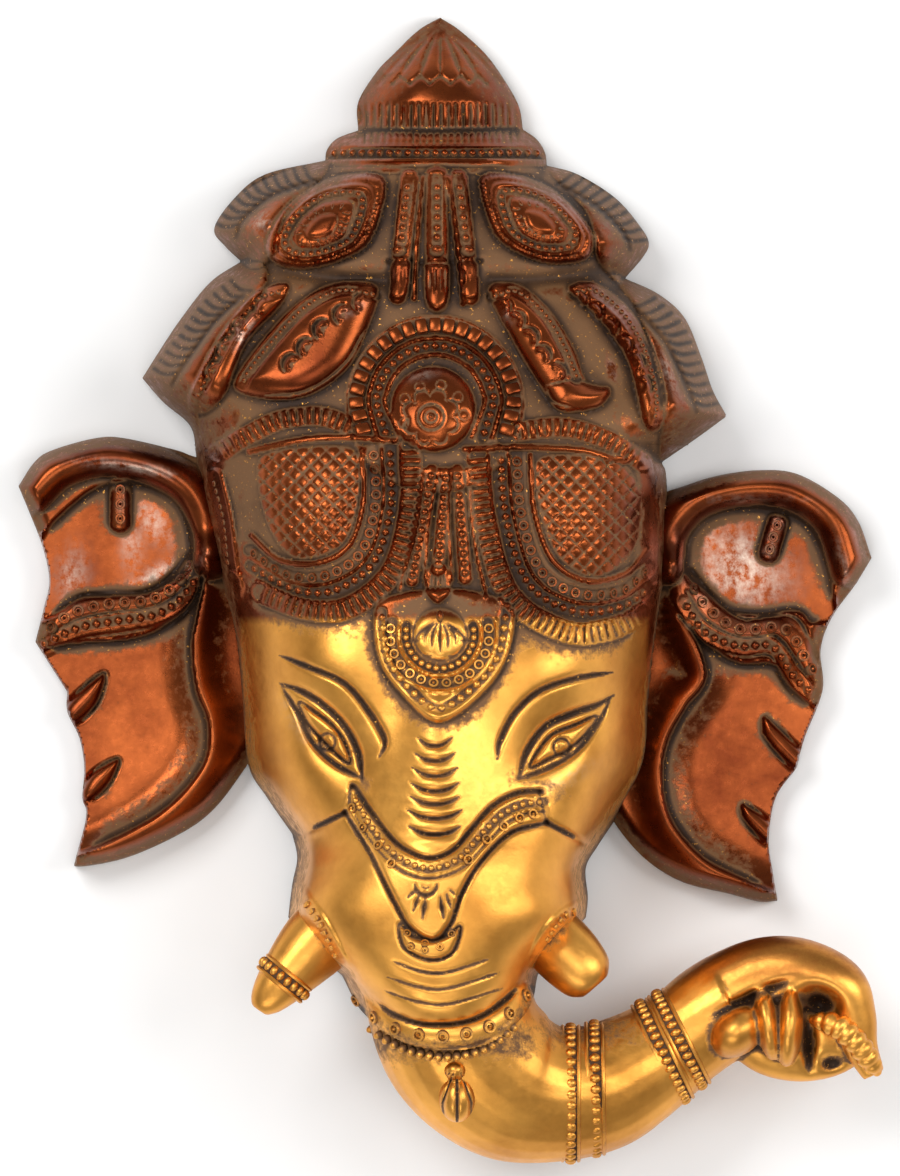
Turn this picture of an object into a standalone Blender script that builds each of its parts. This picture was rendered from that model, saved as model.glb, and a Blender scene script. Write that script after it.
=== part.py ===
"""Ganesha wall mask: one hollow brass casting that lies face up on its back rim.

The head, crown and ears are one sheet of metal. Its front is a height above the back
plane, worked out at every point of a grid from lofts, plates, ridges and grooves, and
its inside follows the front one wall lower. The trunk and tusks are swept and joined on.

Places are shares of the mask's own height: X runs to the right and Y runs down from
the crown's tip, in units of HEIGHT / SPAN, so that the carving keeps its proportions.
Depths are real sizes.
"""
import math

import bmesh
import bpy
import numpy as np
from mathutils import Matrix

# Driving sizes in metres
HEIGHT = 0.305
FACE_RISE = 0.076
CROWN_RISE = 0.060
FINIAL_RISE = 0.031
EAR_RISE = 0.010
EAR_RIM = 0.009
EAR_CREST = 0.0042
EAR_SUNK = 0.0046
EDGE = 0.006
CROWN_ROLL = 0.013
FACE_ROLL = 0.005
WALL = 0.004
TRUNK_ROOT = 0.044
TRUNK_LIFT = 0.030
PALM_DEPTH = 0.0081
SWEET_RISE = 0.005
SWEET_DEPTH = 0.0097
BUD_RISE = 0.0273
BUD_DEPTH = 0.0062
TUSK_ROOT = 0.019
TUSK_LIFT = 0.040
BAND_RELIEF = 0.0018
LEAF_RELIEF = 0.0045
GRID_STEP = 0.0015
BACK_SMOOTHING = 24
TRIANGLES = 9700
LIMB_STEP = 0.004
TRIM_GAP = 0.0005
BRACELET_PROUD = 0.001
BRACELET_RISE = 0.002
TINY = 0.0001
WELD = 0.000001
GROUND_OFF = 0.0003
SPARE_STEPS = 3
RIM_SMOOTHING = 4
FIN_SIDES = 6

# Slope of the ears up towards their outer edge, and the share of the rise at the brow
EAR_LEAN = 0.05
BROW_SHARE = 0.8

# Units of the carving: the mask is SPAN units tall, and MIDDLE and BROW are its datum
SPAN = 1144
MIDDLE = 435
BROW = 600
UNIT = HEIGHT / SPAN

# Widths of rounded edges and of round bands, in carving units
LOBE_EDGE = 14
FROND_EDGE = 18
TONGUE_EDGE = 9
LID_EDGE = 12
SHIELD_EDGE = 8
THIN_EDGE = 6
EAR_EDGE = 16
PANEL_EDGE = 9
DROP_WIDTH = 26
ARCH_WIDTH = 12
BROW_BAND_WIDTH = 14
BAND_WIDTH = 15
RIBBON_WIDTH = 24
LINE_WIDTH = 8
FOLD_WIDTH = 10
BORDER_WIDTH = 16
GARLAND_WIDTH = 20
CHAIN_WIDTH = 34
EARRING_WIDTH = 20
BRACELET_WIDTH = 14
RING_SAG = 10
MUZZLE_ROW = 880
DOME_FULLNESS = 2.4

# Half-round finial and collar: Y, left edge, right edge
FINIAL_ROWS = (
    (17, 434, 446), (30, 418, 460), (54, 392, 486), (78, 368, 506), (98, 358, 518),
    (124, 358, 523), (131, 350, 526), (140, 332, 539), (152, 326, 546), (168, 324, 548),
)
# Crown and face: Y, left edge, right edge, share of the rise, fullness
HEAD_ROWS = (
    (160, 315, 556, 0.46, 2.0), (178, 268, 582, 0.50, 2.1), (230, 204, 657, 0.58, 2.3),
    (275, 205, 652, 0.62, 2.4), (320, 172, 694, 0.66, 2.5), (380, 134, 726, 0.72, 2.5),
    (420, 160, 736, 0.77, 2.5), (455, 192, 682, 0.80, 2.6), (500, 203, 670, 0.82, 2.6),
    (560, 214, 667, 0.84, 2.6), (620, 233, 657, 0.87, 2.5), (700, 242, 648, 0.90, 2.3),
    (765, 246, 642, 0.92, 2.2), (805, 269, 622, 0.93, 2.3), (838, 294, 603, 0.94, 2.6),
    (868, 295, 586, 0.97, 3.0), (915, 288, 587, 1.00, 3.2), (960, 322, 549, 1.00, 3.0),
    (990, 346, 536, 0.98, 2.8), (1020, 366, 520, 0.92, 2.4), (1050, 400, 495, 0.70, 2.0),
)

# Where the crown's rounded edge gives way to the face's, and over how long
CROWN_END = 470
CROWN_FADE = 30

# Outline of the head, as runs that meet at sharp corners
HEAD_OUTLINE = (
    ((440, 17), (460, 30), (486, 54), (506, 82), (519, 106), (523, 129)),
    ((523, 129), (537, 139), (545, 152), (547, 165)),
    ((547, 165), (578, 174), (616, 198), (641, 227), (649, 243), (643, 257), (625, 278)),
    ((625, 278), (659, 294), (685, 318), (702, 358), (713, 390), (727, 416)),
    ((727, 416), (697, 438), (662, 462)),
    ((662, 462), (667, 485), (668, 600), (655, 700), (648, 770), (614, 822)),
    ((614, 822), (598, 846), (586, 868), (588, 898), (586, 918)),
    ((586, 918), (556, 948), (538, 975)),
    ((538, 975), (528, 1010), (490, 1042), (445, 1049), (400, 1040), (362, 1012), (342, 976)),
    ((342, 976), (320, 956), (288, 918)),
    ((288, 918), (292, 885), (297, 858), (292, 834)),
    ((292, 834), (267, 798), (248, 765), (240, 700), (225, 600), (200, 500), (196, 455)),
    ((196, 455), (190, 426), (163, 402), (142, 378)),
    ((142, 378), (157, 354), (181, 318), (210, 282), (241, 261)),
    ((241, 261), (225, 246), (214, 228), (234, 198), (265, 174), (325, 160)),
    ((325, 160), (327, 149), (337, 138), (358, 130)),
    ((358, 130), (358, 102), (376, 72), (393, 54), (418, 30), (440, 17)),
)
LEFT_EAR_OUTLINE = (
    ((250, 470), (196, 457), (176, 450), (124, 438), (95, 438), (52, 450), (34, 462), (18, 486)),
    ((18, 486), (28, 510), (42, 546), (49, 580), (44, 606), (35, 642)),
    ((35, 642), (58, 678), (67, 692)),
    ((67, 692), (67, 712), (79, 738), (84, 768), (82, 798), (86, 816), (75, 860)),
    ((75, 860), (78, 867), (126, 858), (180, 834), (213, 810), (241, 774), (262, 740)),
    ((262, 740), (270, 600), (250, 470)),
)
RIGHT_EAR_OUTLINE = (
    ((640, 500), (678, 488), (716, 476), (760, 470), (798, 474), (839, 498), (859, 522), (872, 558)),
    ((872, 558), (857, 583)),
    ((857, 583), (832, 618), (821, 650), (823, 690), (805, 738), (797, 768)),
    ((797, 768), (776, 798), (769, 840), (773, 872), (778, 901)),
    ((778, 901), (760, 902), (729, 894), (682, 882), (644, 858), (614, 822), (600, 790)),
    ((600, 790), (610, 600), (640, 500)),
)

# Crown lobes and fronds, each a pillow with a closed outline
LOBES = (
    ((325, 158), (262, 172), (230, 196), (208, 228), (240, 264), (270, 262), (286, 214), (322, 178)),
    ((548, 164), (585, 172), (622, 196), (654, 243), (625, 282), (598, 262), (588, 216), (560, 184)),
    ((262, 264), (212, 276), (180, 316), (136, 378), (192, 440), (200, 398), (222, 344), (264, 292)),
    ((612, 276), (662, 288), (690, 318), (706, 358), (732, 418), (664, 466), (662, 392), (636, 310)),
)
FRONDS = (
    ((378, 288), (340, 282), (300, 302), (266, 336), (234, 384), (262, 400), (306, 398), (346, 372),
     (368, 332)),
    ((288, 284), (258, 292), (228, 326), (204, 366), (188, 402), (204, 414), (228, 392), (248, 344),
     (282, 306)),
    ((488, 290), (516, 284), (550, 312), (574, 350), (586, 380), (610, 390), (598, 408), (560, 412),
     (540, 388), (512, 342)),
    ((568, 290), (592, 282), (628, 308), (652, 350), (664, 398), (660, 428), (644, 426), (626, 362),
     (596, 318)),
)
TONGUES = (
    ((385, 180), (372, 240), (340, 262), (300, 270), (272, 262), (268, 240), (290, 205), (332, 178)),
    ((480, 178), (490, 228), (510, 250), (545, 264), (582, 262), (594, 246), (588, 226), (556, 192),
     (520, 176)),
)
TONGUE_DROPS = (
    ((348, 184), (336, 206), (318, 228)),
    ((528, 184), (538, 206), (552, 226)),
)
# Boss and horseshoe at the middle of the crown
BOSS = (433, 410)
BOSS_RADIUS = 43
HORSESHOE = (435, 405)
HORSESHOE_RADII = (50, 64, 80)
HORSESHOE_END = 437
# Hanging tassels: top, bottom, width
TASSELS = (
    ((410, 178), (398, 296), 22), ((437, 178), (437, 310), 26), ((458, 178), (470, 297), 22),
    ((434, 470), (414, 582), 15), ((448, 474), (438, 600), 16), ((456, 470), (466, 580), 15),
)
# Ribbed bands over the diadem, and the bands that hang round its two domes
BROW_BANDS = (
    ((352, 427), (320, 417), (280, 421), (245, 438), (218, 454)),
    ((520, 432), (560, 428), (600, 438), (642, 462)),
    ((395, 441), (340, 438), (300, 441), (250, 452)),
    ((465, 450), (520, 448), (580, 451), (625, 462)),
)
DOMES = (((316, 506), 62, 66), ((580, 520), 62, 68))
DOME_BANDS = (
    ((364, 452), (366, 500), (352, 545), (320, 564), (280, 560), (246, 530)),
    ((388, 452), (388, 505), (372, 562), (336, 588), (300, 590), (256, 566)),
    ((410, 455), (410, 508), (394, 566), (352, 606), (312, 610), (262, 592)),
    ((516, 456), (522, 512), (542, 562), (580, 582), (622, 574), (648, 548)),
    ((496, 456), (504, 520), (528, 582), (572, 608), (616, 604), (648, 584)),
    ((474, 458), (484, 526), (508, 592), (556, 630), (604, 632), (644, 612)),
)
# Side ribbons beside the temples
RIBBONS = (
    ((214, 478), (224, 520), (230, 600), (230, 680), (236, 756)),
    ((665, 500), (662, 600), (652, 700), (646, 780)),
)
# Forehead pendant, a shield with a flower in its middle
PENDANT = (
    (376, 606), (378, 656), (400, 692), (438, 722), (482, 694), (508, 654), (512, 606), (470, 590),
    (438, 588), (404, 592),
)
PENDANT_FLOWER = (440, 634)
PENDANT_FLOWER_RADIUS = 26
PENDANT_RINGS = (38, 54)
# Face
TEMPLES = (((316, 660), 60, 46), ((566, 668), 60, 46))
CHEEKS = (((300, 760), 40, 60), ((590, 768), 40, 60))
SOCKETS = (((330, 738), 56, 24, -52), ((556, 742), 56, 24, 42))
RIDGE = ((437, 716), (436, 770), (434, 846))
RIDGE_WIDTHS = ((0, 28), (0.5, 40), (1, 62))
RING_ROWS = (745, 761, 776, 791, 805, 819, 834)
RING_HALVES = (16, 19, 20, 22, 24, 27, 26)
BROWS = (
    ((278, 655), (310, 668), (345, 684), (370, 712), (384, 738), (380, 756)),
    ((612, 672), (575, 678), (540, 691), (515, 712), (500, 740), (497, 758)),
)
EYELIDS = (
    ((282, 684), (320, 700), (345, 722), (358, 750), (362, 778), (338, 764), (318, 744), (300, 716)),
    ((612, 694), (575, 710), (545, 725), (525, 750), (518, 778), (545, 768), (574, 748), (596, 722)),
)
# Harness, pouch, muzzle borders and garland
HARNESS = (
    (352, 792), (372, 822), (398, 856), (432, 868), (464, 852), (490, 820), (520, 802), (546, 802),
)
HARNESS_WIDTH = 28
BIB = ((380, 838), (400, 900), (410, 928), (432, 940), (450, 922), (462, 888), (484, 846), (432, 862))
POUCH = ((402, 924), (404, 944), (430, 957), (452, 948), (460, 924), (432, 936))
CHEEK_FOLDS = (((345, 812), (320, 824), (292, 838)), ((545, 822), (566, 834), (592, 850)))
WRINKLES = (
    ((392, 960), (440, 972), (490, 956)), ((386, 976), (440, 988), (500, 970)),
    ((380, 992), (440, 1003), (510, 984)),
)
MUZZLE_BORDERS = (
    ((292, 886), (318, 922), (336, 956), (348, 984)), ((588, 904), (562, 918), (542, 944), (534, 970)),
)
GARLAND = ((350, 990), (366, 1010), (400, 1030), (440, 1038), (482, 1030), (512, 1010), (530, 984))
GARLAND_BEADS = ((356, 1012), (380, 1034), (410, 1046), (448, 1053), (486, 1042), (514, 1022))
# Ears: rolled rim, inner ridge, chain, ring and the cuts in the outer edge
EAR_RIMS = (
    ((206, 560), (204, 520), (186, 486), (150, 466), (105, 458), (62, 470), (30, 494)),
    ((668, 560), (672, 524), (700, 496), (745, 485), (792, 490), (834, 520), (852, 566)),
)
EAR_RIM_WIDTH = 40
EAR_ROOTS = (250, 640)
EAR_CRESTS = (
    ((208, 552), (203, 600), (195, 644), (199, 686), (211, 722), (209, 758), (190, 790), (160, 818),
     (118, 842), (78, 858)),
    ((676, 566), (682, 616), (702, 674), (682, 706), (664, 740), (658, 778), (668, 822), (700, 860),
     (740, 882), (776, 897)),
)
CREST_WIDTHS = ((0, 16), (0.5, 20), (1, 16))
EAR_DISHES = (
    ((40, 534), (60, 512), (90, 488), (120, 479), (156, 486), (184, 506), (198, 540), (190, 572),
     (150, 596), (110, 598), (78, 602), (46, 622), (30, 610), (30, 560)),
    ((684, 576), (684, 540), (706, 514), (744, 504), (782, 508), (812, 524), (828, 556), (836, 590),
     (838, 620), (812, 626), (796, 614), (760, 618), (730, 614), (706, 596)),
)
EAR_PANELS = (
    ((38, 652), (80, 640), (130, 636), (166, 622), (190, 600), (202, 566), (206, 580), (198, 620),
     (194, 646), (198, 688), (210, 722), (208, 758), (188, 790), (158, 817), (116, 840), (78, 856),
     (52, 852), (52, 760), (36, 700)),
    ((686, 618), (704, 640), (740, 660), (774, 662), (796, 690), (818, 706), (838, 720), (820, 780),
     (790, 840), (790, 886), (774, 894), (740, 880), (700, 858), (669, 820), (660, 778), (666, 740),
     (684, 706), (704, 674)),
)
EAR_CHAINS = (
    ((40, 636), (78, 618), (112, 610), (150, 606), (178, 588), (196, 562)),
    ((684, 576), (706, 616), (740, 638), (784, 636), (806, 668), (818, 690)),
)
EARRINGS = (((120, 484), (120, 524)), ((776, 520), (768, 556)))
EAR_CUTS = (
    ((66, 710), (86, 696), (104, 674)), ((84, 786), (102, 776), (118, 762)),
    ((800, 756), (782, 740), (766, 716)), ((772, 832), (758, 818), (743, 804)),
)
# Raised scales along the fronds
SCALES = (
    (362, 300), (343, 312), (322, 328), (308, 346), (292, 362), (276, 377), (263, 307), (242, 326),
    (226, 348), (214, 370), (200, 398), (500, 306), (515, 319), (529, 337), (541, 353), (556, 368),
    (577, 299), (593, 312), (608, 327), (622, 343), (634, 362), (643, 384), (650, 406),
)
SCALE_REACH = 9

# Swept limbs: X, Y, share of the root's half width, height above the trunk's own lift
TRUNK_PATH = (
    (440, 985, 0.95, 0.014), (451, 1011, 1.00, 0.014), (464, 1042, 1.00, 0.012),
    (487, 1067, 0.98, 0.009), (519, 1086, 0.93, 0.006), (560, 1093, 0.82, 0.004),
    (600, 1086, 0.78, 0.002), (630, 1071, 0.72, 0.001), (656, 1055, 0.66, 0.0),
    (680, 1038, 0.62, 0.0), (706, 1020, 0.61, 0.0), (736, 1002, 0.62, 0.001),
)
TRUNK_CURL = (
    (716, 1000, 0.50, 0.001), (760, 976, 0.44, 0.003), (800, 972, 0.42, 0.005),
    (836, 988, 0.38, 0.006), (852, 1016, 0.29, 0.006), (860, 1046, 0.21, 0.006),
    (873, 1074, 0.14, 0.006),
)
PALM = (800, 1034, 74, 47)
SWEETS = ((740, 1036, 28, 25), (782, 1018, 22, 40))
BUD = (456, 1092, 19, 30)
BRACELETS = (
    ((570, 1028), (570, 1160)), ((592, 1022), (594, 1156)),
    ((645, 1012), (684, 1094)), ((660, 1002), (702, 1086)),
)
LEFT_TUSK = (
    (342, 916, 1.04, 0.0), (314, 944, 1.0, 0.003), (284, 978, 0.74, 0.006), (267, 999, 0.50, 0.007),
    (260, 1009, 0.26, 0.007),
)
RIGHT_TUSK = (
    (534, 918, 0.92, 0.0), (560, 946, 0.95, 0.004), (576, 963, 0.90, 0.006), (588, 977, 0.76, 0.007),
    (595, 985, 0.46, 0.007),
)


def at(x, y):
    """Turn a place in carving units into metres about the brow's middle."""
    return ((x - MIDDLE) * UNIT, (BROW - y) * UNIT)


def curve_through(points, closed=False, step=0.0008):
    """Smooth line through (x, y, ...) points in metres, sampled about every step."""
    knots = np.array(points, dtype=float)
    if closed:
        frame = np.vstack([knots[-1:], knots, knots[:2]])
    else:
        frame = np.vstack([2 * knots[:1] - knots[1:2], knots, 2 * knots[-1:] - knots[-2:-1]])
    pieces = []
    for before, start, end, after in zip(frame, frame[1:], frame[2:], frame[3:]):
        length = math.hypot(*(end - start)[:2])
        t = np.linspace(0, 1, max(2, int(length / step) + 1), endpoint=False)[:, None]
        pieces.append(0.5 * (2 * start + (end - before) * t
                             + (2 * before - 5 * start + 4 * end - after) * t ** 2
                             + (3 * start - before - 3 * end + after) * t ** 3))
    if not closed:
        pieces.append(knots[-1:])
    return np.vstack(pieces)


def line_of(points, closed=False):
    """Smooth line through places given in carving units."""
    return curve_through([at(*point) for point in points], closed)


def outline_of(runs):
    """Closed outline whose runs are smooth and meet at sharp corners."""
    return np.vstack([line_of(run)[:-1] for run in runs])


def blend_rows(value, rows, column):
    """Value of one column of a table of rows, eased between the rows."""
    stations = np.array([row[0] for row in rows], dtype=float)
    values = np.array([row[column] for row in rows], dtype=float)
    slopes = np.gradient(values, stations)
    value = np.clip(value, stations[0], stations[-1])
    index = np.clip(np.searchsorted(stations, value) - 1, 0, len(stations) - 2)
    span = stations[index + 1] - stations[index]
    t = (value - stations[index]) / span
    start = (1 + 2 * t) * (1 - t) ** 2 * values[index] + t * (1 - t) ** 2 * span * slopes[index]
    return start + t * t * (3 - 2 * t) * values[index + 1] + t * t * (t - 1) * span * slopes[index + 1]


def nearest(x, y, line):
    """Share along a line, distance from it, and its nearest place, for each point."""
    steps = np.diff(line, axis=0)
    lengths = np.hypot(steps[:, 0], steps[:, 1])
    starts = np.concatenate([[0], np.cumsum(lengths)])
    best = np.full(x.shape, np.inf)
    share = np.zeros(x.shape)
    near_x = np.zeros(x.shape)
    near_y = np.zeros(x.shape)
    for (ox, oy), (sx, sy), length, start in zip(line, steps, lengths, starts):
        t = np.clip(((x - ox) * sx + (y - oy) * sy) / max(length ** 2, 1e-15), 0, 1)
        px = ox + t * sx
        py = oy + t * sy
        distance = np.hypot(x - px, y - py)
        closer = distance < best
        best = np.where(closer, distance, best)
        share = np.where(closer, (start + t * length) / starts[-1], share)
        near_x = np.where(closer, px, near_x)
        near_y = np.where(closer, py, near_y)
    return share, best, near_x, near_y


def inside(x, y, loop):
    """Which points lie inside a closed line."""
    found = np.zeros(x.shape, dtype=bool)
    for (ax, ay), (bx, by) in zip(loop, np.roll(loop, -1, axis=0)):
        if ay != by:
            crosses = (ay > y) != (by > y)
            found ^= crosses & (x < (bx - ax) * (y - ay) / (by - ay) + ax)
    return found


def ease(t):
    """Smooth step from 0 to 1."""
    t = np.clip(t, 0, 1)
    return t * t * (3 - 2 * t)


class Relief:
    """Heights of the front above the back plane, at a cloud of points."""

    def __init__(self, x, y):
        self.x = x
        self.y = y
        self.z = np.zeros(x.shape)

    def near(self, line, reach):
        """Indices of the points within reach of a line's box."""
        low = line.min(axis=0) - reach
        high = line.max(axis=0) + reach
        return np.nonzero((self.x > low[0]) & (self.x < high[0])
                          & (self.y > low[1]) & (self.y < high[1]))[0]

    def plate(self, points, lift, edge):
        """Raise, or with a negative lift sink, a closed outline, rounded over edge inside it."""
        loop = line_of(points, closed=True)
        picked = self.near(loop, 0)
        picked = picked[inside(self.x[picked], self.y[picked], loop)]
        depth = nearest(self.x[picked], self.y[picked], np.vstack([loop, loop[:1]]))[1]
        t = 1 - np.clip(depth / edge, 0, 1)
        self.z[picked] += lift * np.sqrt(1 - t * t)

    def ridge(self, points, width, lift, closed=False):
        """Raise, or with a negative lift cut, a round band along a line."""
        line = line_of(points, closed)
        if closed:
            line = np.vstack([line, line[:1]])
        picked = self.near(line, width)
        distance = nearest(self.x[picked], self.y[picked], line)[1]
        t = np.clip(distance / (0.5 * width), 0, 1)
        self.z[picked] += lift * np.sqrt(1 - t * t)

    def spine(self, points, widths, lift):
        """Raise a soft ridge whose width, in carving units, changes along its line."""
        line = line_of(points)
        reach = max(width for _, width in widths) * UNIT
        picked = self.near(line, reach)
        share, distance, _, _ = nearest(self.x[picked], self.y[picked], line)
        t = distance / (blend_rows(share, widths, 1) * UNIT)
        self.z[picked] += lift * np.exp(-t * t)

    def swell(self, centre, reach_x, reach_y, lift, turn=0):
        """Add a soft bell, or with a negative lift a hollow."""
        cx, cy = at(*centre)
        angle = math.radians(turn)
        dx = self.x - cx
        dy = self.y - cy
        along = (dx * math.cos(angle) + dy * math.sin(angle)) / (reach_x * UNIT)
        across = (dy * math.cos(angle) - dx * math.sin(angle)) / (reach_y * UNIT)
        self.z += lift * np.exp(-along ** 2 - across ** 2)

    def dome(self, centre, reach_x, reach_y, lift, power=2.0):
        """Add a dome with an oval foot."""
        cx, cy = at(*centre)
        t = np.hypot((self.x - cx) / (reach_x * UNIT), (self.y - cy) / (reach_y * UNIT))
        self.z += lift * (1 - np.clip(t, 0, 1) ** power) ** (1 / power)

    def row(self):
        """Place of each point down the mask, in carving units."""
        return BROW - self.y / UNIT

    def column(self):
        """Place of each point across the mask, in carving units."""
        return MIDDLE + self.x / UNIT


def half_round(sheet):
    """Heights of the turned finial and collar above the back plane."""
    row = sheet.row()
    left = blend_rows(row, FINIAL_ROWS, 1)
    right = blend_rows(row, FINIAL_ROWS, 2)
    widest = max(last - first for _, first, last in FINIAL_ROWS) / 2
    half = (right - left) / 2
    across = np.clip(np.abs(sheet.column() - (left + right) / 2) / half, 0, 1)
    rise = EDGE + (FINIAL_RISE - EDGE) * half / widest * np.sqrt(1 - across ** 2)
    return np.where(row < FINIAL_ROWS[-1][0], rise, 0)


def head_rise(sheet):
    """Heights of the plain head and crown, before any carving."""
    row = sheet.row()
    left = blend_rows(row, HEAD_ROWS, 1)
    right = blend_rows(row, HEAD_ROWS, 2)
    share = blend_rows(row, HEAD_ROWS, 3)
    power = blend_rows(row, HEAD_ROWS, 4)
    top = np.where(share < BROW_SHARE, CROWN_RISE / BROW_SHARE * share,
                   CROWN_RISE + (FACE_RISE - CROWN_RISE) * (share - BROW_SHARE) / (1 - BROW_SHARE))
    across = np.clip(np.abs(sheet.column() - (left + right) / 2) / ((right - left) / 2), 0, 1)
    rise = EDGE + (top - EDGE) * (1 - across ** power) ** (1 / power)
    return np.where(row > HEAD_ROWS[0][0], rise, 0)


def carve_crown(sheet):
    """Tiers, lobes, fronds, tongues, tassels and the middle boss."""
    for lobe in LOBES:
        sheet.plate(lobe, LEAF_RELIEF, LOBE_EDGE * UNIT)
    for frond in FRONDS:
        sheet.plate(frond, LEAF_RELIEF * 1.2, FROND_EDGE * UNIT)
    for scale in SCALES:
        sheet.swell(scale, SCALE_REACH, SCALE_REACH, BAND_RELIEF)
    for tongue, drop in zip(TONGUES, TONGUE_DROPS):
        sheet.plate(tongue, LEAF_RELIEF, TONGUE_EDGE * UNIT)
        sheet.ridge(drop, DROP_WIDTH * UNIT, BAND_RELIEF)
    for top, bottom, width in TASSELS:
        sheet.ridge((top, bottom), width * UNIT, BAND_RELIEF * 1.4)
    sheet.dome(BOSS, BOSS_RADIUS, BOSS_RADIUS, LEAF_RELIEF * 1.3)
    for radius in HORSESHOE_RADII:
        cx, cy = HORSESHOE
        side = math.sqrt(max(radius ** 2 - (HORSESHOE_END - cy) ** 2, 0))
        arch = [(cx - side, HORSESHOE_END)]
        for turn in range(180, 361, 30):
            angle = math.radians(turn)
            arch.append((cx + radius * math.cos(angle), cy + radius * math.sin(angle)))
        arch.append((cx + side, HORSESHOE_END))
        sheet.ridge(arch, ARCH_WIDTH * UNIT, BAND_RELIEF * 1.3)


def carve_diadem(sheet):
    """Brow bands, two domes with their hanging bands, and the side ribbons."""
    for centre, reach_x, reach_y in DOMES:
        sheet.dome(centre, reach_x, reach_y, LEAF_RELIEF, DOME_FULLNESS)
    for band in BROW_BANDS:
        sheet.ridge(band, BROW_BAND_WIDTH * UNIT, BAND_RELIEF)
    for band in DOME_BANDS:
        sheet.ridge(band, BAND_WIDTH * UNIT, BAND_RELIEF)
    for ribbon in RIBBONS:
        sheet.ridge(ribbon, RIBBON_WIDTH * UNIT, BAND_RELIEF * 1.6)


def carve_face(sheet):
    """Temples, eyes, brows, the ringed ridge, the harness and the muzzle's bands."""
    for centre, reach_x, reach_y in TEMPLES:
        sheet.swell(centre, reach_x, reach_y, LEAF_RELIEF * 0.9)
    for centre, reach_x, reach_y in CHEEKS:
        sheet.swell(centre, reach_x, reach_y, LEAF_RELIEF * 0.7)
    for centre, reach_x, reach_y, turn in SOCKETS:
        sheet.swell(centre, reach_x, reach_y, -LEAF_RELIEF * 0.8, turn)
    for eyelid in EYELIDS:
        sheet.plate(eyelid, BAND_RELIEF * 1.3, LID_EDGE * UNIT)
    sheet.spine(RIDGE, RIDGE_WIDTHS, LEAF_RELIEF * 1.2)
    for row, half in zip(RING_ROWS, RING_HALVES):
        smile = ((MIDDLE - half, row - RING_SAG), (MIDDLE, row), (MIDDLE + half, row - RING_SAG))
        sheet.ridge(smile, LINE_WIDTH * UNIT, -BAND_RELIEF * 0.7)
    for brow in BROWS:
        sheet.ridge(brow, LINE_WIDTH * UNIT, -BAND_RELIEF * 0.8)
    for fold in CHEEK_FOLDS:
        sheet.ridge(fold, FOLD_WIDTH * UNIT, -BAND_RELIEF)
    sheet.ridge(HARNESS, HARNESS_WIDTH * UNIT, BAND_RELIEF * 1.2)
    sheet.plate(BIB, BAND_RELIEF, THIN_EDGE * UNIT)
    sheet.plate(POUCH, BAND_RELIEF, THIN_EDGE * UNIT)
    for wrinkle in WRINKLES:
        sheet.ridge(wrinkle, LINE_WIDTH * UNIT, -BAND_RELIEF * 0.5)
    for border in MUZZLE_BORDERS:
        sheet.ridge(border, BORDER_WIDTH * UNIT, BAND_RELIEF)
    sheet.ridge(GARLAND, GARLAND_WIDTH * UNIT, BAND_RELIEF * 1.3)
    sheet.ridge(GARLAND_BEADS, ARCH_WIDTH * UNIT, BAND_RELIEF)
    sheet.plate(PENDANT, BAND_RELIEF * 1.4, SHIELD_EDGE * UNIT)
    sheet.dome(PENDANT_FLOWER, PENDANT_FLOWER_RADIUS, PENDANT_FLOWER_RADIUS, BAND_RELIEF * 1.3)
    for radius in PENDANT_RINGS:
        cx, cy = PENDANT_FLOWER
        ring = []
        for turn in range(-10, 191, 25):
            angle = math.radians(turn)
            ring.append((cx + radius * math.cos(angle), cy + radius * math.sin(angle)))
        sheet.ridge(ring, FOLD_WIDTH * UNIT, BAND_RELIEF * 0.6)


def ear_rise(sheet, side):
    """Heights of one ear: a rolled top rim over a dish, and a crest round a sunk panel."""
    loop = outline_of((LEFT_EAR_OUTLINE, RIGHT_EAR_OUTLINE)[side])
    ear = Relief(sheet.x, sheet.y)
    ear.z += EAR_RISE + EAR_LEAN * np.abs(ear.x - at(EAR_ROOTS[side], BROW)[0])
    depth = nearest(ear.x, ear.y, np.vstack([loop, loop[:1]]))[1]
    ear.z -= (EAR_RISE - EDGE) * (1 - ease(depth / (EAR_EDGE * UNIT)))
    ear.ridge(EAR_RIMS[side], EAR_RIM_WIDTH * UNIT, EAR_RIM)
    ear.spine(EAR_CRESTS[side], CREST_WIDTHS, EAR_CREST)
    ear.plate(EAR_DISHES[side], -EAR_SUNK * 0.7, PANEL_EDGE * UNIT)
    ear.plate(EAR_PANELS[side], -EAR_SUNK, PANEL_EDGE * UNIT)
    return np.where(inside(ear.x, ear.y, loop), ear.z, 0)


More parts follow.
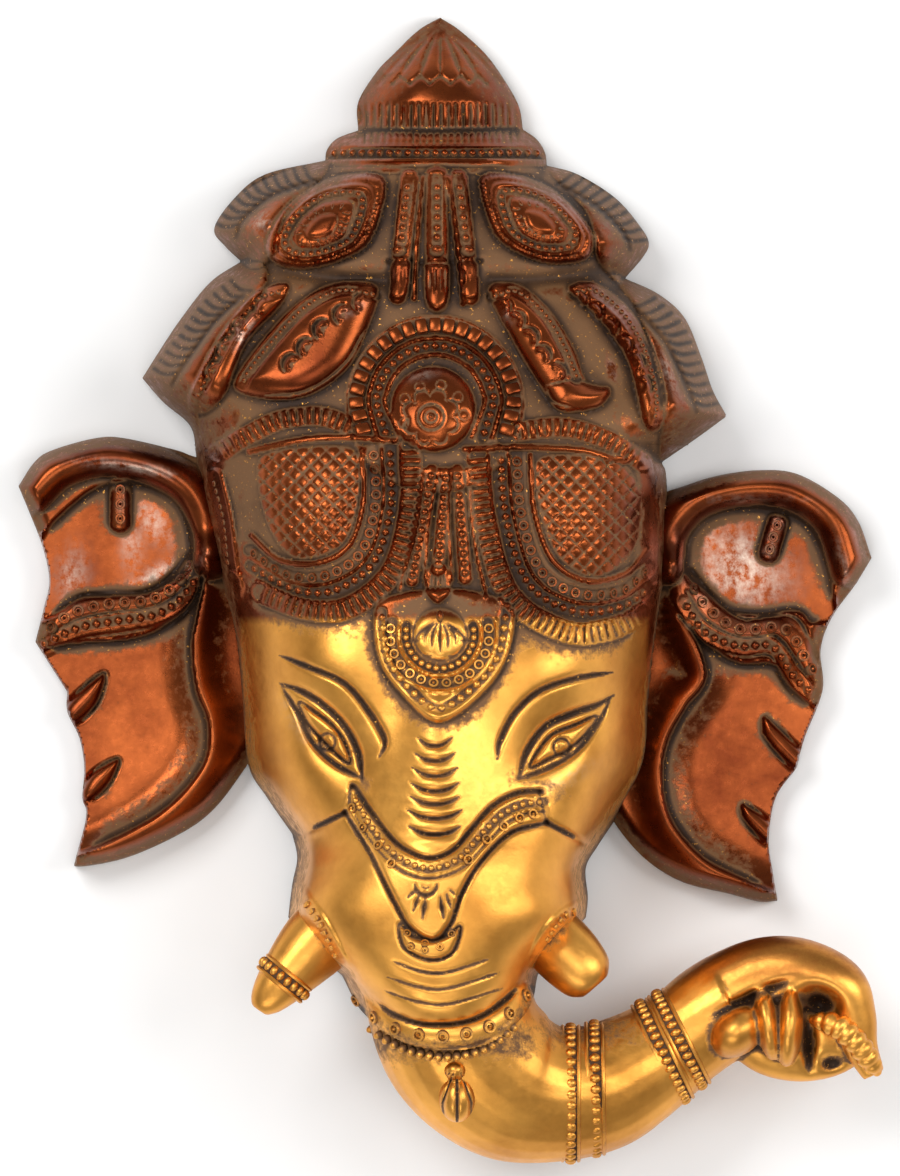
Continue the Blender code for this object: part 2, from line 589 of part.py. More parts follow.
def front_heights(x, y):
    """Height of the whole front at each point."""
    sheet = Relief(x, y)
    sheet.z = np.maximum(half_round(sheet), head_rise(sheet))
    carve_crown(sheet)
    carve_diadem(sheet)
    carve_face(sheet)
    outline = outline_of(HEAD_OUTLINE)
    depth = nearest(x, y, np.vstack([outline, outline[:1]]))[1]
    in_crown = ease((CROWN_END - sheet.row()) / CROWN_FADE)
    roll = FACE_ROLL + (CROWN_ROLL - FACE_ROLL) * in_crown
    rounding = np.sqrt(1 - (1 - np.clip(depth / roll, 0, 1)) ** 2)
    sheet.z = EDGE + (sheet.z - EDGE) * rounding
    sheet.z = np.where(inside(x, y, outline), sheet.z, 0)
    for side in (0, 1):
        sheet.z = np.maximum(sheet.z, ear_rise(sheet, side))
    for chain in EAR_CHAINS:
        sheet.ridge(chain, CHAIN_WIDTH * UNIT, BAND_RELIEF * 1.3)
    for earring in EARRINGS:
        sheet.ridge(earring, EARRING_WIDTH * UNIT, BAND_RELIEF * 1.5)
    for cut in EAR_CUTS:
        sheet.ridge(cut, GARLAND_WIDTH * UNIT, BAND_RELIEF)
    return sheet.z


def back_heights(columns, rows, front):
    """Height of the inside: the front sunk by a ball of the wall's thickness."""
    reach = int(WALL / GRID_STEP) + 1
    padded = np.pad(front, reach)
    inner = np.full(front.shape, np.inf)
    for i in range(-reach, reach + 1):
        for j in range(-reach, reach + 1):
            away = math.hypot(i, j) * GRID_STEP
            if away < WALL:
                shifted = padded[reach + i:reach + i + columns, reach + j:reach + j + rows]
                inner = np.minimum(inner, shifted - math.sqrt(WALL ** 2 - away ** 2))
    inner = np.maximum(inner, 0)
    for _ in range(BACK_SMOOTHING):
        edged = np.pad(inner, 1, mode="edge")
        around = (edged[2:, 1:-1] + edged[:-2, 1:-1] + edged[1:-1, 2:] + edged[1:-1, :-2]) / 4
        inner = np.minimum(inner, around)
    return inner


def read_grid(grid, origin, x, y):
    """Value of a regular grid of heights at any points, between its nodes."""
    across = np.clip((x - origin[0]) / GRID_STEP, 0, grid.shape[0] - 1.001)
    along = np.clip((y - origin[1]) / GRID_STEP, 0, grid.shape[1] - 1.001)
    i = across.astype(int)
    j = along.astype(int)
    s = across - i
    t = along - j
    return ((1 - s) * (1 - t) * grid[i, j] + s * (1 - t) * grid[i + 1, j]
            + (1 - s) * t * grid[i, j + 1] + s * t * grid[i + 1, j + 1])


def snap_to_outline(x, y, loops):
    """Nearest place on the outer edge of several overlapping outlines."""
    best = np.full(x.shape, np.inf)
    near_x = x.copy()
    near_y = y.copy()
    for loop in loops:
        _, distance, px, py = nearest(x, y, np.vstack([loop, loop[:1]]))
        hidden = np.zeros(x.shape, dtype=bool)
        for other in loops:
            if other is not loop:
                hidden |= inside(px, py, other)
        closer = (distance < best) & ~hidden
        best = np.where(closer, distance, best)
        near_x = np.where(closer, px, near_x)
        near_y = np.where(closer, py, near_y)
    return near_x, near_y


def material(name, colour, roughness):
    """Plain metal for one piece."""
    made = bpy.data.materials.new(name)
    made.use_nodes = True
    shader = made.node_tree.nodes["Principled BSDF"]
    shader.inputs["Base Color"].default_value = (*colour, 1)
    shader.inputs["Metallic"].default_value = 1.0
    shader.inputs["Roughness"].default_value = roughness
    return made


def add_object(name, mesh, collection):
    """Link a mesh to a collection as a named object."""
    piece = bpy.data.objects.new(name, mesh)
    collection.objects.link(piece)
    return piece


def mesh_from(name, bm):
    """Turn an edit mesh with outward faces into a mesh."""
    bmesh.ops.recalc_face_normals(bm, faces=bm.faces)
    mesh = bpy.data.meshes.new(name)
    bm.to_mesh(mesh)
    bm.free()
    return mesh


def lay_grid(low, count):
    """Flat grid of edges a step long, with its low corner at a place."""
    bm = bmesh.new()
    bmesh.ops.create_grid(bm, x_segments=count[0], y_segments=count[1], size=0.5)
    for vert in bm.verts:
        vert.co.x = low[0] + (vert.co.x + 0.5) * count[0] * GRID_STEP
        vert.co.y = low[1] + (vert.co.y + 0.5) * count[1] * GRID_STEP
    return bm


def trim_to_outlines(bm, loops):
    """Drop the faces outside every outline and draw the open edge onto the nearest one."""
    middles = np.array([face.calc_center_median()[:2] for face in bm.faces])
    kept = np.zeros(len(middles), dtype=bool)
    for loop in loops:
        kept |= inside(middles[:, 0], middles[:, 1], loop)
    bmesh.ops.delete(bm, geom=[face for face, keep in zip(bm.faces[:], kept) if not keep],
                     context="FACES")
    rim = [vert for vert in bm.verts if vert.is_boundary]
    rim_x, rim_y = snap_to_outline(np.array([vert.co.x for vert in rim]),
                                   np.array([vert.co.y for vert in rim]), loops)
    for vert, x, y in zip(rim, rim_x, rim_y):
        vert.co.x = x
        vert.co.y = y
    beside = {edge.other_vert(vert) for vert in rim for edge in vert.link_edges}
    for _ in range(RIM_SMOOTHING):
        bmesh.ops.smooth_vert(bm, verts=[vert for vert in beside if not vert.is_boundary],
                              factor=0.5, use_axis_x=True, use_axis_y=True)


def thicken(bm, lower):
    """Extrude a sheet to a closed body whose new side lies at the lower heights.

    lower holds a height for each corner's place, with the place's digits cut to a nanometre.
    """
    grown = bmesh.ops.extrude_face_region(bm, geom=bm.faces[:], use_keep_orig=True)["geom"]
    for vert in grown:
        if isinstance(vert, bmesh.types.BMVert):
            vert.co.z = lower[place_of(vert)]


def place_of(vert):
    """Place of a corner across the sheet, with its digits cut to a nanometre."""
    return (round(vert.co.x, 9), round(vert.co.y, 9))


def shell_sheet():
    """Closed shell of the head and ears, and the hollow behind its muzzle."""
    loops = [outline_of(runs) for runs in (HEAD_OUTLINE, LEFT_EAR_OUTLINE, RIGHT_EAR_OUTLINE)]
    every = np.vstack(loops)
    low = every.min(axis=0) - SPARE_STEPS * GRID_STEP
    count = np.ceil((every.max(axis=0) + SPARE_STEPS * GRID_STEP - low) / GRID_STEP).astype(int)
    grid_x, grid_y = np.meshgrid(low[0] + GRID_STEP * np.arange(count[0] + 1),
                                 low[1] + GRID_STEP * np.arange(count[1] + 1), indexing="ij")
    front = front_heights(grid_x.ravel(), grid_y.ravel()).reshape(grid_x.shape)
    back = back_heights(*front.shape, front)

    sheet = lay_grid(low, count)
    trim_to_outlines(sheet, loops)
    sheet.verts.ensure_lookup_table()
    x = np.array([vert.co.x for vert in sheet.verts])
    y = np.array([vert.co.y for vert in sheet.verts])
    on_rim = np.array([vert.is_boundary for vert in sheet.verts])
    top = np.where(on_rim, EDGE, np.maximum(front_heights(x, y), EDGE))
    bottom = np.where(on_rim, 0, read_grid(back, low, x, y))
    lower = {}
    for vert, height, depth in zip(sheet.verts, top, bottom):
        vert.co.z = height
        lower[place_of(vert)] = depth
    thicken(sheet, lower)

    hollow = lay_grid(low, count)
    low_row = at(MIDDLE, MUZZLE_ROW)[1]
    bmesh.ops.delete(hollow, geom=[face for face in hollow.faces
                                   if face.calc_center_median().y > low_row], context="FACES")
    x = np.array([vert.co.x for vert in hollow.verts])
    y = np.array([vert.co.y for vert in hollow.verts])
    for vert, depth in zip(hollow.verts, read_grid(back, low, x, y)):
        vert.co.z = depth - TRIM_GAP
    thicken(hollow, {place_of(vert): -WALL for vert in hollow.verts})
    return mesh_from("shell", sheet), mesh_from("hollow", hollow)


def swept(name, path, half_width, lift, collection, sides=8):
    """Round limb along a path of (X, Y, share of the half width, height)."""
    places = [(*at(x, y), lift + rise, half_width * share) for x, y, share, rise in path]
    samples = curve_through(places, step=LIMB_STEP)
    curve = bpy.data.curves.new(name, "CURVE")
    curve.dimensions = "3D"
    curve.bevel_depth = 1.0
    curve.bevel_resolution = sides
    curve.use_fill_caps = True
    spline = curve.splines.new("POLY")
    spline.points.add(len(samples) - 1)
    for point, (x, y, z, radius) in zip(spline.points, samples):
        point.co = (x, y, z, 1)
        point.radius = radius
    limb = add_object(name, curve, collection)
    bpy.context.view_layer.update()
    graph = bpy.context.evaluated_depsgraph_get()
    mesh = bpy.data.meshes.new_from_object(limb.evaluated_get(graph))
    bpy.data.objects.remove(limb)
    bm = bmesh.new()
    bm.from_mesh(mesh)
    bmesh.ops.remove_doubles(bm, verts=bm.verts, dist=WELD)
    return add_object(name, mesh_from(name, bm), collection)


def ball(name, x, y, reach_x, reach_y, z, reach_z, collection):
    """Oval lump, placed and sized in carving units, with its height and half depth in metres."""
    bm = bmesh.new()
    bmesh.ops.create_uvsphere(bm, u_segments=20, v_segments=12, radius=1)
    cx, cy = at(x, y)
    for vert in bm.verts:
        vert.co.x = cx + vert.co.x * reach_x * UNIT
        vert.co.y = cy + vert.co.y * reach_y * UNIT
        vert.co.z = z + vert.co.z * reach_z
    return add_object(name, mesh_from(name, bm), collection)


def bracelet(name, top, bottom, collection):
    """Flat ring round the trunk, drawn as the line across it that it shows from the front."""
    ax, ay = at(*top)
    bx, by = at(*bottom)
    radius = math.hypot(bx - ax, by - ay) / 2 + BRACELET_PROUD
    along = (by - ay, ax - bx)
    bm = bmesh.new()
    bmesh.ops.create_cone(bm, cap_ends=True, segments=24, radius1=radius, radius2=radius,
                          depth=BRACELET_WIDTH * UNIT)
    turn = Matrix.Rotation(math.atan2(along[1], along[0]), 4, "Z") @ Matrix.Rotation(math.pi / 2, 4, "Y")
    bmesh.ops.transform(bm, verts=bm.verts,
                        matrix=Matrix.Translation(((ax + bx) / 2, (ay + by) / 2,
                                                   TRUNK_LIFT + BRACELET_RISE)) @ turn)
    return add_object(name, mesh_from(name, bm), collection)


def loose_fins(bm):
    """Faces that hang on one edge of a closed surface."""
    return [face for face in bm.faces if any(edge.is_boundary for edge in face.edges)
            and any(len(edge.link_faces) > 2 for edge in face.edges)]


def baked(piece):
    """Mesh of an object with its modifiers applied and its tiny edges merged."""
    bpy.context.view_layer.update()
    graph = bpy.context.evaluated_depsgraph_get()
    mesh = bpy.data.meshes.new_from_object(piece.evaluated_get(graph))
    bm = bmesh.new()
    bm.from_mesh(mesh)
    bmesh.ops.triangulate(bm, faces=bm.faces)
    bmesh.ops.remove_doubles(bm, verts=bm.verts, dist=TINY)
    bmesh.ops.dissolve_degenerate(bm, edges=bm.edges, dist=TINY)
    fins = loose_fins(bm)
    while fins:
        bmesh.ops.delete(bm, geom=fins, context="FACES")
        fins = loose_fins(bm)
    bmesh.ops.delete(bm, geom=[vert for vert in bm.verts if not vert.link_faces], context="VERTS")
    bmesh.ops.holes_fill(bm, edges=[edge for edge in bm.edges if edge.is_boundary], sides=FIN_SIDES)
    bmesh.ops.triangulate(bm, faces=bm.faces)
    return mesh_from(piece.name, bm)


def build():
    """Make the casting, centred over the middle of its own back."""
    for old in list(bpy.data.objects):
        bpy.data.objects.remove(old)
    casting = bpy.data.collections.new("ganesha mask")
    cutters = bpy.data.collections.new("cutters")
    bpy.context.scene.collection.children.link(casting)
    bpy.context.scene.collection.children.link(cutters)

    shell, hollow = shell_sheet()
    body = add_object("raw_casting", shell, cutters)
    joined = [
        swept("trunk", TRUNK_PATH, TRUNK_ROOT / 2, TRUNK_LIFT, cutters),
        swept("curl", TRUNK_CURL, TRUNK_ROOT / 2, TRUNK_LIFT, cutters, 6),
        swept("left_tusk", LEFT_TUSK, TUSK_ROOT / 2, TUSK_LIFT, cutters, 6),
        swept("right_tusk", RIGHT_TUSK, TUSK_ROOT / 2, TUSK_LIFT, cutters, 6),
        ball("palm", *PALM, TRUNK_LIFT, PALM_DEPTH, cutters),
        ball("bud", *BUD, TRUNK_LIFT + BUD_RISE, BUD_DEPTH, cutters),
    ]
    for number, sweet in enumerate(SWEETS):
        joined.append(ball(f"sweet_{number}", *sweet, TRUNK_LIFT + SWEET_RISE, SWEET_DEPTH, cutters))
    for number, (top, bottom) in enumerate(BRACELETS):
        joined.append(bracelet(f"bracelet_{number}", top, bottom, cutters))
    for piece in joined:
        join = body.modifiers.new(piece.name, "BOOLEAN")
        join.operation = "UNION"
        join.object = piece
    trim = body.modifiers.new("hollow", "BOOLEAN")
    trim.operation = "DIFFERENCE"
    trim.object = add_object("hollow", hollow, cutters)
    whole = baked(body)
    body.modifiers.clear()
    body.data = whole
    thin = body.modifiers.new("thin", "DECIMATE")
    thin.ratio = TRIANGLES / len(whole.polygons)
    mesh = baked(body)

    corners = np.array([vert.co[:] for vert in mesh.vertices])
    middle = (corners.min(axis=0) + corners.max(axis=0)) / 2
    mesh.transform(Matrix.Translation((-middle[0], -middle[1], -corners[:, 2].min())))
    for vert in mesh.vertices:
        if vert.co.z < GROUND_OFF:
            vert.co.z = 0
    mask = add_object("ganesha_mask", mesh, casting)
    mesh.materials.clear()
    mesh.materials.append(material("aged_brass", (0.55, 0.30, 0.09), 0.38))
    for piece in cutters.objects:
        piece.hide_render = True
        piece.display_type = "WIRE"
    return mask


build()
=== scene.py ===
"""Looks of a cast brass Ganesha wall mask that lies face up on a pale floor.

The front is one map of heights above the back plane. Each sub-assembly carves its own part
of the map, then sets its own beads, ribs and rings on it. The crown, diadem, face and ears
are cut from the map as closed shells, and the trunk and tusks are swept beside them.

Places are in carving units: X runs to the right and Y runs down, and the mask spans SPAN
units from the crown's tip to the underside of the trunk. Depths are in metres.
"""

import logging
import math
from dataclasses import dataclass
from enum import Enum

import bpy
import numpy as np
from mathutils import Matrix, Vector


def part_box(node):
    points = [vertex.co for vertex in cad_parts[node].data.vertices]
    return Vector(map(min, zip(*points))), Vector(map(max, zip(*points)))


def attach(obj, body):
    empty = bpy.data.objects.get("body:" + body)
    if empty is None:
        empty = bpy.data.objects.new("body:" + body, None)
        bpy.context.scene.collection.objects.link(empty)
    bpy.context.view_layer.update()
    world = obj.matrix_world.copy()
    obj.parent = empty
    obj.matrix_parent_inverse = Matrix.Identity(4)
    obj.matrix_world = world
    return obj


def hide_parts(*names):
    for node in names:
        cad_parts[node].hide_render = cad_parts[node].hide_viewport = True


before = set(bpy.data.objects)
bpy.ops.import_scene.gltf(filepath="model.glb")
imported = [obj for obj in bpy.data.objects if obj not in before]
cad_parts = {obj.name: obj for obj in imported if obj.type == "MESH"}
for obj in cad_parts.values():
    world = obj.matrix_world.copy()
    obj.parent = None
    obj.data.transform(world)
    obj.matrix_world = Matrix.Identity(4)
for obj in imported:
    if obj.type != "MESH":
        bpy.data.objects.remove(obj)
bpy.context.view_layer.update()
NODE = "ganesha_mask"
NODE_LOW, NODE_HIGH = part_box(NODE)

logging.basicConfig(level=logging.INFO, format="%(message)s")
log = logging.getLogger(NODE)

Place = tuple[float, float]
Path = tuple[Place, ...]
Size = tuple[float, float, float]
Window = tuple[slice, slice]

SLOT = "aged_brass"

# Carving units, and the corner of the mask's box that they are counted from
SPAN = 1144
EAR_TIP = 18
CROWN_TIP = 17
MIDDLE = 435
UNIT = 0.305 / SPAN

# Depths that the solid has too
FACE_RISE = 0.076
CROWN_RISE = 0.060
FINIAL_RISE = 0.031
EAR_RISE = 0.010
EAR_RIM = 0.009
EAR_LEAN = 0.05
EDGE = 0.006
WALL = 0.004
CROWN_ROLL = 0.013
FACE_ROLL = 0.005
BAND = 0.0018
LEAF = 0.0045
TRUNK_LIFT = 0.030
TRUNK_RADIUS = 0.022
TUSK_LIFT = 0.040
TUSK_RADIUS = 0.0095
COLLAR = 0.0025

# Spacing of the map, of the shells' surfaces and of the map that their inside follows
MAP_STEP = 0.00042
SHELL_STEP = 0.00045
BACK_STEPS = 3
BACK_SMOOTHING = 24

# Rounds of smoothing beside a shell's rim, and share of its triangles that stay
EVEN_ROUNDS = 8
KEPT_SHARE = 0.5968

# Share of a stud's height below the surface, and dirt in the lines of a comb
SINK = 0.25
COMB_DIRT = 0.8

# Half-round finial and collar: Y, left edge, right edge
FINIAL_ROWS = (
    (17, 434, 446), (30, 418, 460), (54, 392, 486), (78, 368, 506), (98, 358, 518),
    (124, 358, 523), (131, 350, 526), (140, 332, 539), (152, 326, 546), (168, 324, 548),
)
# Crown and face: Y, left edge, right edge, share of the rise, fullness
HEAD_ROWS = (
    (160, 315, 556, 0.46, 2.0), (178, 268, 582, 0.50, 2.1), (230, 204, 657, 0.58, 2.3),
    (275, 205, 652, 0.62, 2.4), (320, 172, 694, 0.66, 2.5), (380, 134, 726, 0.72, 2.5),
    (420, 160, 736, 0.77, 2.5), (455, 192, 682, 0.80, 2.6), (500, 203, 670, 0.82, 2.6),
    (560, 214, 667, 0.84, 2.6), (620, 233, 657, 0.87, 2.5), (700, 242, 648, 0.90, 2.3),
    (765, 246, 642, 0.92, 2.2), (805, 269, 622, 0.93, 2.3), (838, 294, 603, 0.94, 2.6),
    (868, 295, 586, 0.97, 3.0), (915, 288, 587, 1.00, 3.2), (960, 322, 549, 1.00, 3.0),
    (990, 346, 536, 0.98, 2.8), (1020, 366, 520, 0.92, 2.4), (1050, 400, 495, 0.70, 2.0),
)
CROWN_END = 470
CROWN_FADE = 30

# Outlines of the head and ears, as runs that meet at sharp corners
HEAD_OUTLINE = (
    ((440, 17), (460, 30), (486, 54), (506, 82), (519, 106), (523, 129)),
    ((523, 129), (537, 139), (545, 152), (547, 165)),
    ((547, 165), (578, 174), (616, 198), (641, 227), (649, 243), (643, 257), (625, 278)),
    ((625, 278), (659, 294), (685, 318), (702, 358), (713, 390), (727, 416)),
    ((727, 416), (697, 438), (662, 462)),
    ((662, 462), (667, 485), (668, 600), (655, 700), (648, 770), (614, 822)),
    ((614, 822), (598, 846), (586, 868), (588, 898), (586, 918)),
    ((586, 918), (556, 948), (538, 975)),
    ((538, 975), (528, 1010), (490, 1042), (445, 1049), (400, 1040), (362, 1012), (342, 976)),
    ((342, 976), (320, 956), (288, 918)),
    ((288, 918), (292, 885), (297, 858), (292, 834)),
    ((292, 834), (267, 798), (248, 765), (240, 700), (225, 600), (200, 500), (196, 455)),
    ((196, 455), (190, 426), (163, 402), (142, 378)),
    ((142, 378), (157, 354), (181, 318), (210, 282), (241, 261)),
    ((241, 261), (225, 246), (214, 228), (234, 198), (265, 174), (325, 160)),
    ((325, 160), (327, 149), (337, 138), (358, 130)),
    ((358, 130), (358, 102), (376, 72), (393, 54), (418, 30), (440, 17)),
)
LEFT_EAR_OUTLINE = (
    ((250, 470), (196, 457), (176, 450), (124, 438), (95, 438), (52, 450), (34, 462), (18, 486)),
    ((18, 486), (28, 510), (42, 546), (49, 580), (44, 606), (35, 642)),
    ((35, 642), (58, 678), (67, 692)),
    ((67, 692), (67, 712), (79, 738), (84, 768), (82, 798), (86, 816), (75, 860)),
    ((75, 860), (78, 867), (126, 858), (180, 834), (213, 810), (241, 774), (262, 740)),
    ((262, 740), (270, 600), (250, 470)),
)
RIGHT_EAR_OUTLINE = (
    ((640, 500), (678, 488), (716, 476), (760, 470), (798, 474), (839, 498), (859, 522), (872, 558)),
    ((872, 558), (857, 583)),
    ((857, 583), (832, 618), (821, 650), (823, 690), (805, 738), (797, 768)),
    ((797, 768), (776, 798), (769, 840), (773, 872), (778, 901)),
    ((778, 901), (760, 902), (729, 894), (682, 882), (644, 858), (614, 822), (600, 790)),
    ((600, 790), (610, 600), (640, 500)),
)
# Trunk: X, Y, share of its radius, height above its own lift in metres
TRUNK_PATH = (
    (440, 985, 0.95, 0.014), (451, 1011, 1.00, 0.014), (464, 1042, 1.00, 0.012),
    (487, 1067, 0.98, 0.009), (519, 1086, 0.93, 0.006), (560, 1093, 0.82, 0.004),
    (600, 1086, 0.78, 0.002), (630, 1071, 0.72, 0.001), (656, 1055, 0.66, 0.0),
    (680, 1038, 0.62, 0.0), (706, 1020, 0.61, 0.0), (736, 1002, 0.62, 0.001),
)
TRUNK_CURL = (
    (672, 1040, 0.50, 0.0), (700, 1014, 0.54, 0.0), (730, 992, 0.52, 0.001), (764, 974, 0.46, 0.003),
    (800, 972, 0.42, 0.005), (836, 988, 0.38, 0.006), (852, 1016, 0.29, 0.006), (860, 1046, 0.21, 0.006),
    (873, 1074, 0.14, 0.006),
)


def at(x: float, y: float) -> Place:
    """Place in metres of a point in carving units."""
    return (NODE_LOW.x + (x - EAR_TIP) * UNIT, NODE_HIGH.y - (y - CROWN_TIP) * UNIT)


def units(x: np.ndarray, y: np.ndarray) -> tuple[np.ndarray, np.ndarray]:
    """Column and row in carving units of places in metres."""
    return EAR_TIP + (x - NODE_LOW.x) / UNIT, CROWN_TIP + (NODE_HIGH.y - y) / UNIT


def ease(t: np.ndarray) -> np.ndarray:
    """Smooth step from 0 to 1."""
    t = np.clip(t, 0, 1)
    return t * t * (3 - 2 * t)


def bell(column: np.ndarray, row: np.ndarray, centre: Place, reach: Place, turn: float) -> np.ndarray:
    """Soft bell of height 1 round a place, with its reaches in carving units."""
    angle = math.radians(turn)
    dx = column - centre[0]
    dy = centre[1] - row
    along = (dx * math.cos(angle) + dy * math.sin(angle)) / reach[0]
    across = (dy * math.cos(angle) - dx * math.sin(angle)) / reach[1]
    return np.exp(-along ** 2 - across ** 2)


def curve_through(points: np.ndarray, closed: bool = False, step: float = 0.0006) -> np.ndarray:
    """Draw a smooth line through points.

    Args:
        points: rows that start with X and Y in metres.
        closed: whether the line ends where it starts.
        step: distance between samples in metres.

    Returns:
        The samples, one per row.
    """
    knots = np.array(points, dtype=float)
    if closed:
        hull = np.vstack([knots[-1:], knots, knots[:2]])
    else:
        hull = np.vstack([2 * knots[:1] - knots[1:2], knots, 2 * knots[-1:] - knots[-2:-1]])
    pieces = []
    for before, start, end, after in zip(hull, hull[1:], hull[2:], hull[3:]):
        length = math.hypot(*(end - start)[:2])
        t = np.linspace(0, 1, max(2, int(length / step) + 1), endpoint=False)[:, None]
        pieces.append(0.5 * (2 * start + (end - before) * t
                             + (2 * before - 5 * start + 4 * end - after) * t ** 2
                             + (3 * start - before - 3 * end + after) * t ** 3))
    pieces.append(knots[:1] if closed else knots[-1:])
    return np.vstack(pieces)


def line_of(path: Path, closed: bool = False) -> np.ndarray:
    """Smooth line in metres through places in carving units."""
    return curve_through(np.array([at(*place) for place in path]), closed)


def outline_of(runs: tuple[Path, ...]) -> np.ndarray:
    """Closed outline in metres whose runs are smooth and meet at sharp corners."""
    return np.vstack([line_of(run)[:-1] for run in runs])


def arc(centre: Place, radius: float, start: float, stop: float, count: int = 9) -> Path:
    """Places on an arc from one angle to another, in degrees clockwise from the right."""
    turns = np.radians(np.linspace(start, stop, count))
    return tuple((centre[0] + radius * math.cos(a), centre[1] + radius * math.sin(a)) for a in turns)


def between(first: Path, second: Path, near: float = 0.5, far: float = 0.5) -> Path:
    """Path between two paths with as many places, by the weight of each."""
    return tuple((a * near + c * far, b * near + d * far) for (a, b), (c, d) in zip(first, second))


def inset(path: Path, share: float) -> Path:
    """Closed outline drawn in towards its middle to a share of its size."""
    cx = sum(x for x, _ in path) / len(path)
    cy = sum(y for _, y in path) / len(path)
    return tuple((cx + (x - cx) * share, cy + (y - cy) * share) for x, y in path)


def spaced(path: Path, pitch: float, closed: bool = False) -> list[tuple[float, float, float]]:
    """Space places evenly along a smooth line.

    Args:
        path: places in carving units.
        pitch: distance between places in carving units.
        closed: whether the path is a loop.

    Returns:
        X and Y in metres and the line's direction there in radians, for each place.
    """
    line = line_of(path, closed)
    steps = np.diff(line, axis=0)
    arcs = np.concatenate([[0], np.cumsum(np.hypot(steps[:, 0], steps[:, 1]))])
    count = max(2, round(arcs[-1] / (pitch * UNIT)))
    stations = (np.arange(count) + 0.5) * arcs[-1] / count
    x = np.interp(stations, arcs, line[:, 0])
    y = np.interp(stations, arcs, line[:, 1])
    index = np.clip(np.searchsorted(arcs, stations) - 1, 0, len(steps) - 1)
    turns = np.arctan2(steps[index, 1], steps[index, 0])
    return list(zip(x, y, turns))


def blend_rows(value: np.ndarray, rows: tuple, column: int) -> np.ndarray:
    """Value of one column of a table of rows, eased between the rows."""
    stations = np.array([row[0] for row in rows], dtype=float)
    values = np.array([row[column] for row in rows], dtype=float)
    slopes = np.gradient(values, stations)
    value = np.clip(value, stations[0], stations[-1])
    index = np.clip(np.searchsorted(stations, value) - 1, 0, len(stations) - 2)
    span = stations[index + 1] - stations[index]
    t = (value - stations[index]) / span
    start = (1 + 2 * t) * (1 - t) ** 2 * values[index] + t * (1 - t) ** 2 * span * slopes[index]
    return start + t * t * (3 - 2 * t) * values[index + 1] + t * t * (t - 1) * span * slopes[index + 1]


def inside(x: np.ndarray, y: np.ndarray, loop: np.ndarray) -> np.ndarray:
    """Which points lie inside a closed line."""
    found = np.zeros(x.shape, dtype=bool)
    for (ax, ay), (bx, by) in zip(loop, np.roll(loop, -1, axis=0)):
        if ay != by:
            crosses = (ay > y) != (by > y)
            found ^= crosses & (x < (bx - ax) * (y - ay) / (by - ay) + ax)
    return found


def sample(grid: np.ndarray, across: np.ndarray, along: np.ndarray) -> np.ndarray:
    """Value of a grid at places between its cells."""
    i, j = across.astype(int), along.astype(int)
    s, t = across - i, along - j
    return ((1 - s) * (1 - t) * grid[i, j] + s * (1 - t) * grid[i + 1, j]
            + (1 - s) * t * grid[i, j + 1] + s * t * grid[i + 1, j + 1])


def blur(grid: np.ndarray, cells: int) -> np.ndarray:
    """Grid averaged over a square of cells each way, twice over."""
    for axis in (0, 1, 0, 1):
        pad = [(0, 0), (0, 0)]
        pad[axis] = (cells + 1, cells)
        total = np.cumsum(np.pad(grid, pad, mode="edge"), axis=axis)
        size = grid.shape[axis]
        high = np.take(total, np.arange(size) + 2 * cells + 1, axis=axis)
        low = np.take(total, np.arange(size), axis=axis)
        grid = (high - low) / (2 * cells + 1)
    return grid


@dataclass
class Trace:
    """Distance from a line and arc length along it, over one window of the map."""

    window: Window
    distance: np.ndarray
    arc: np.ndarray
    length: float


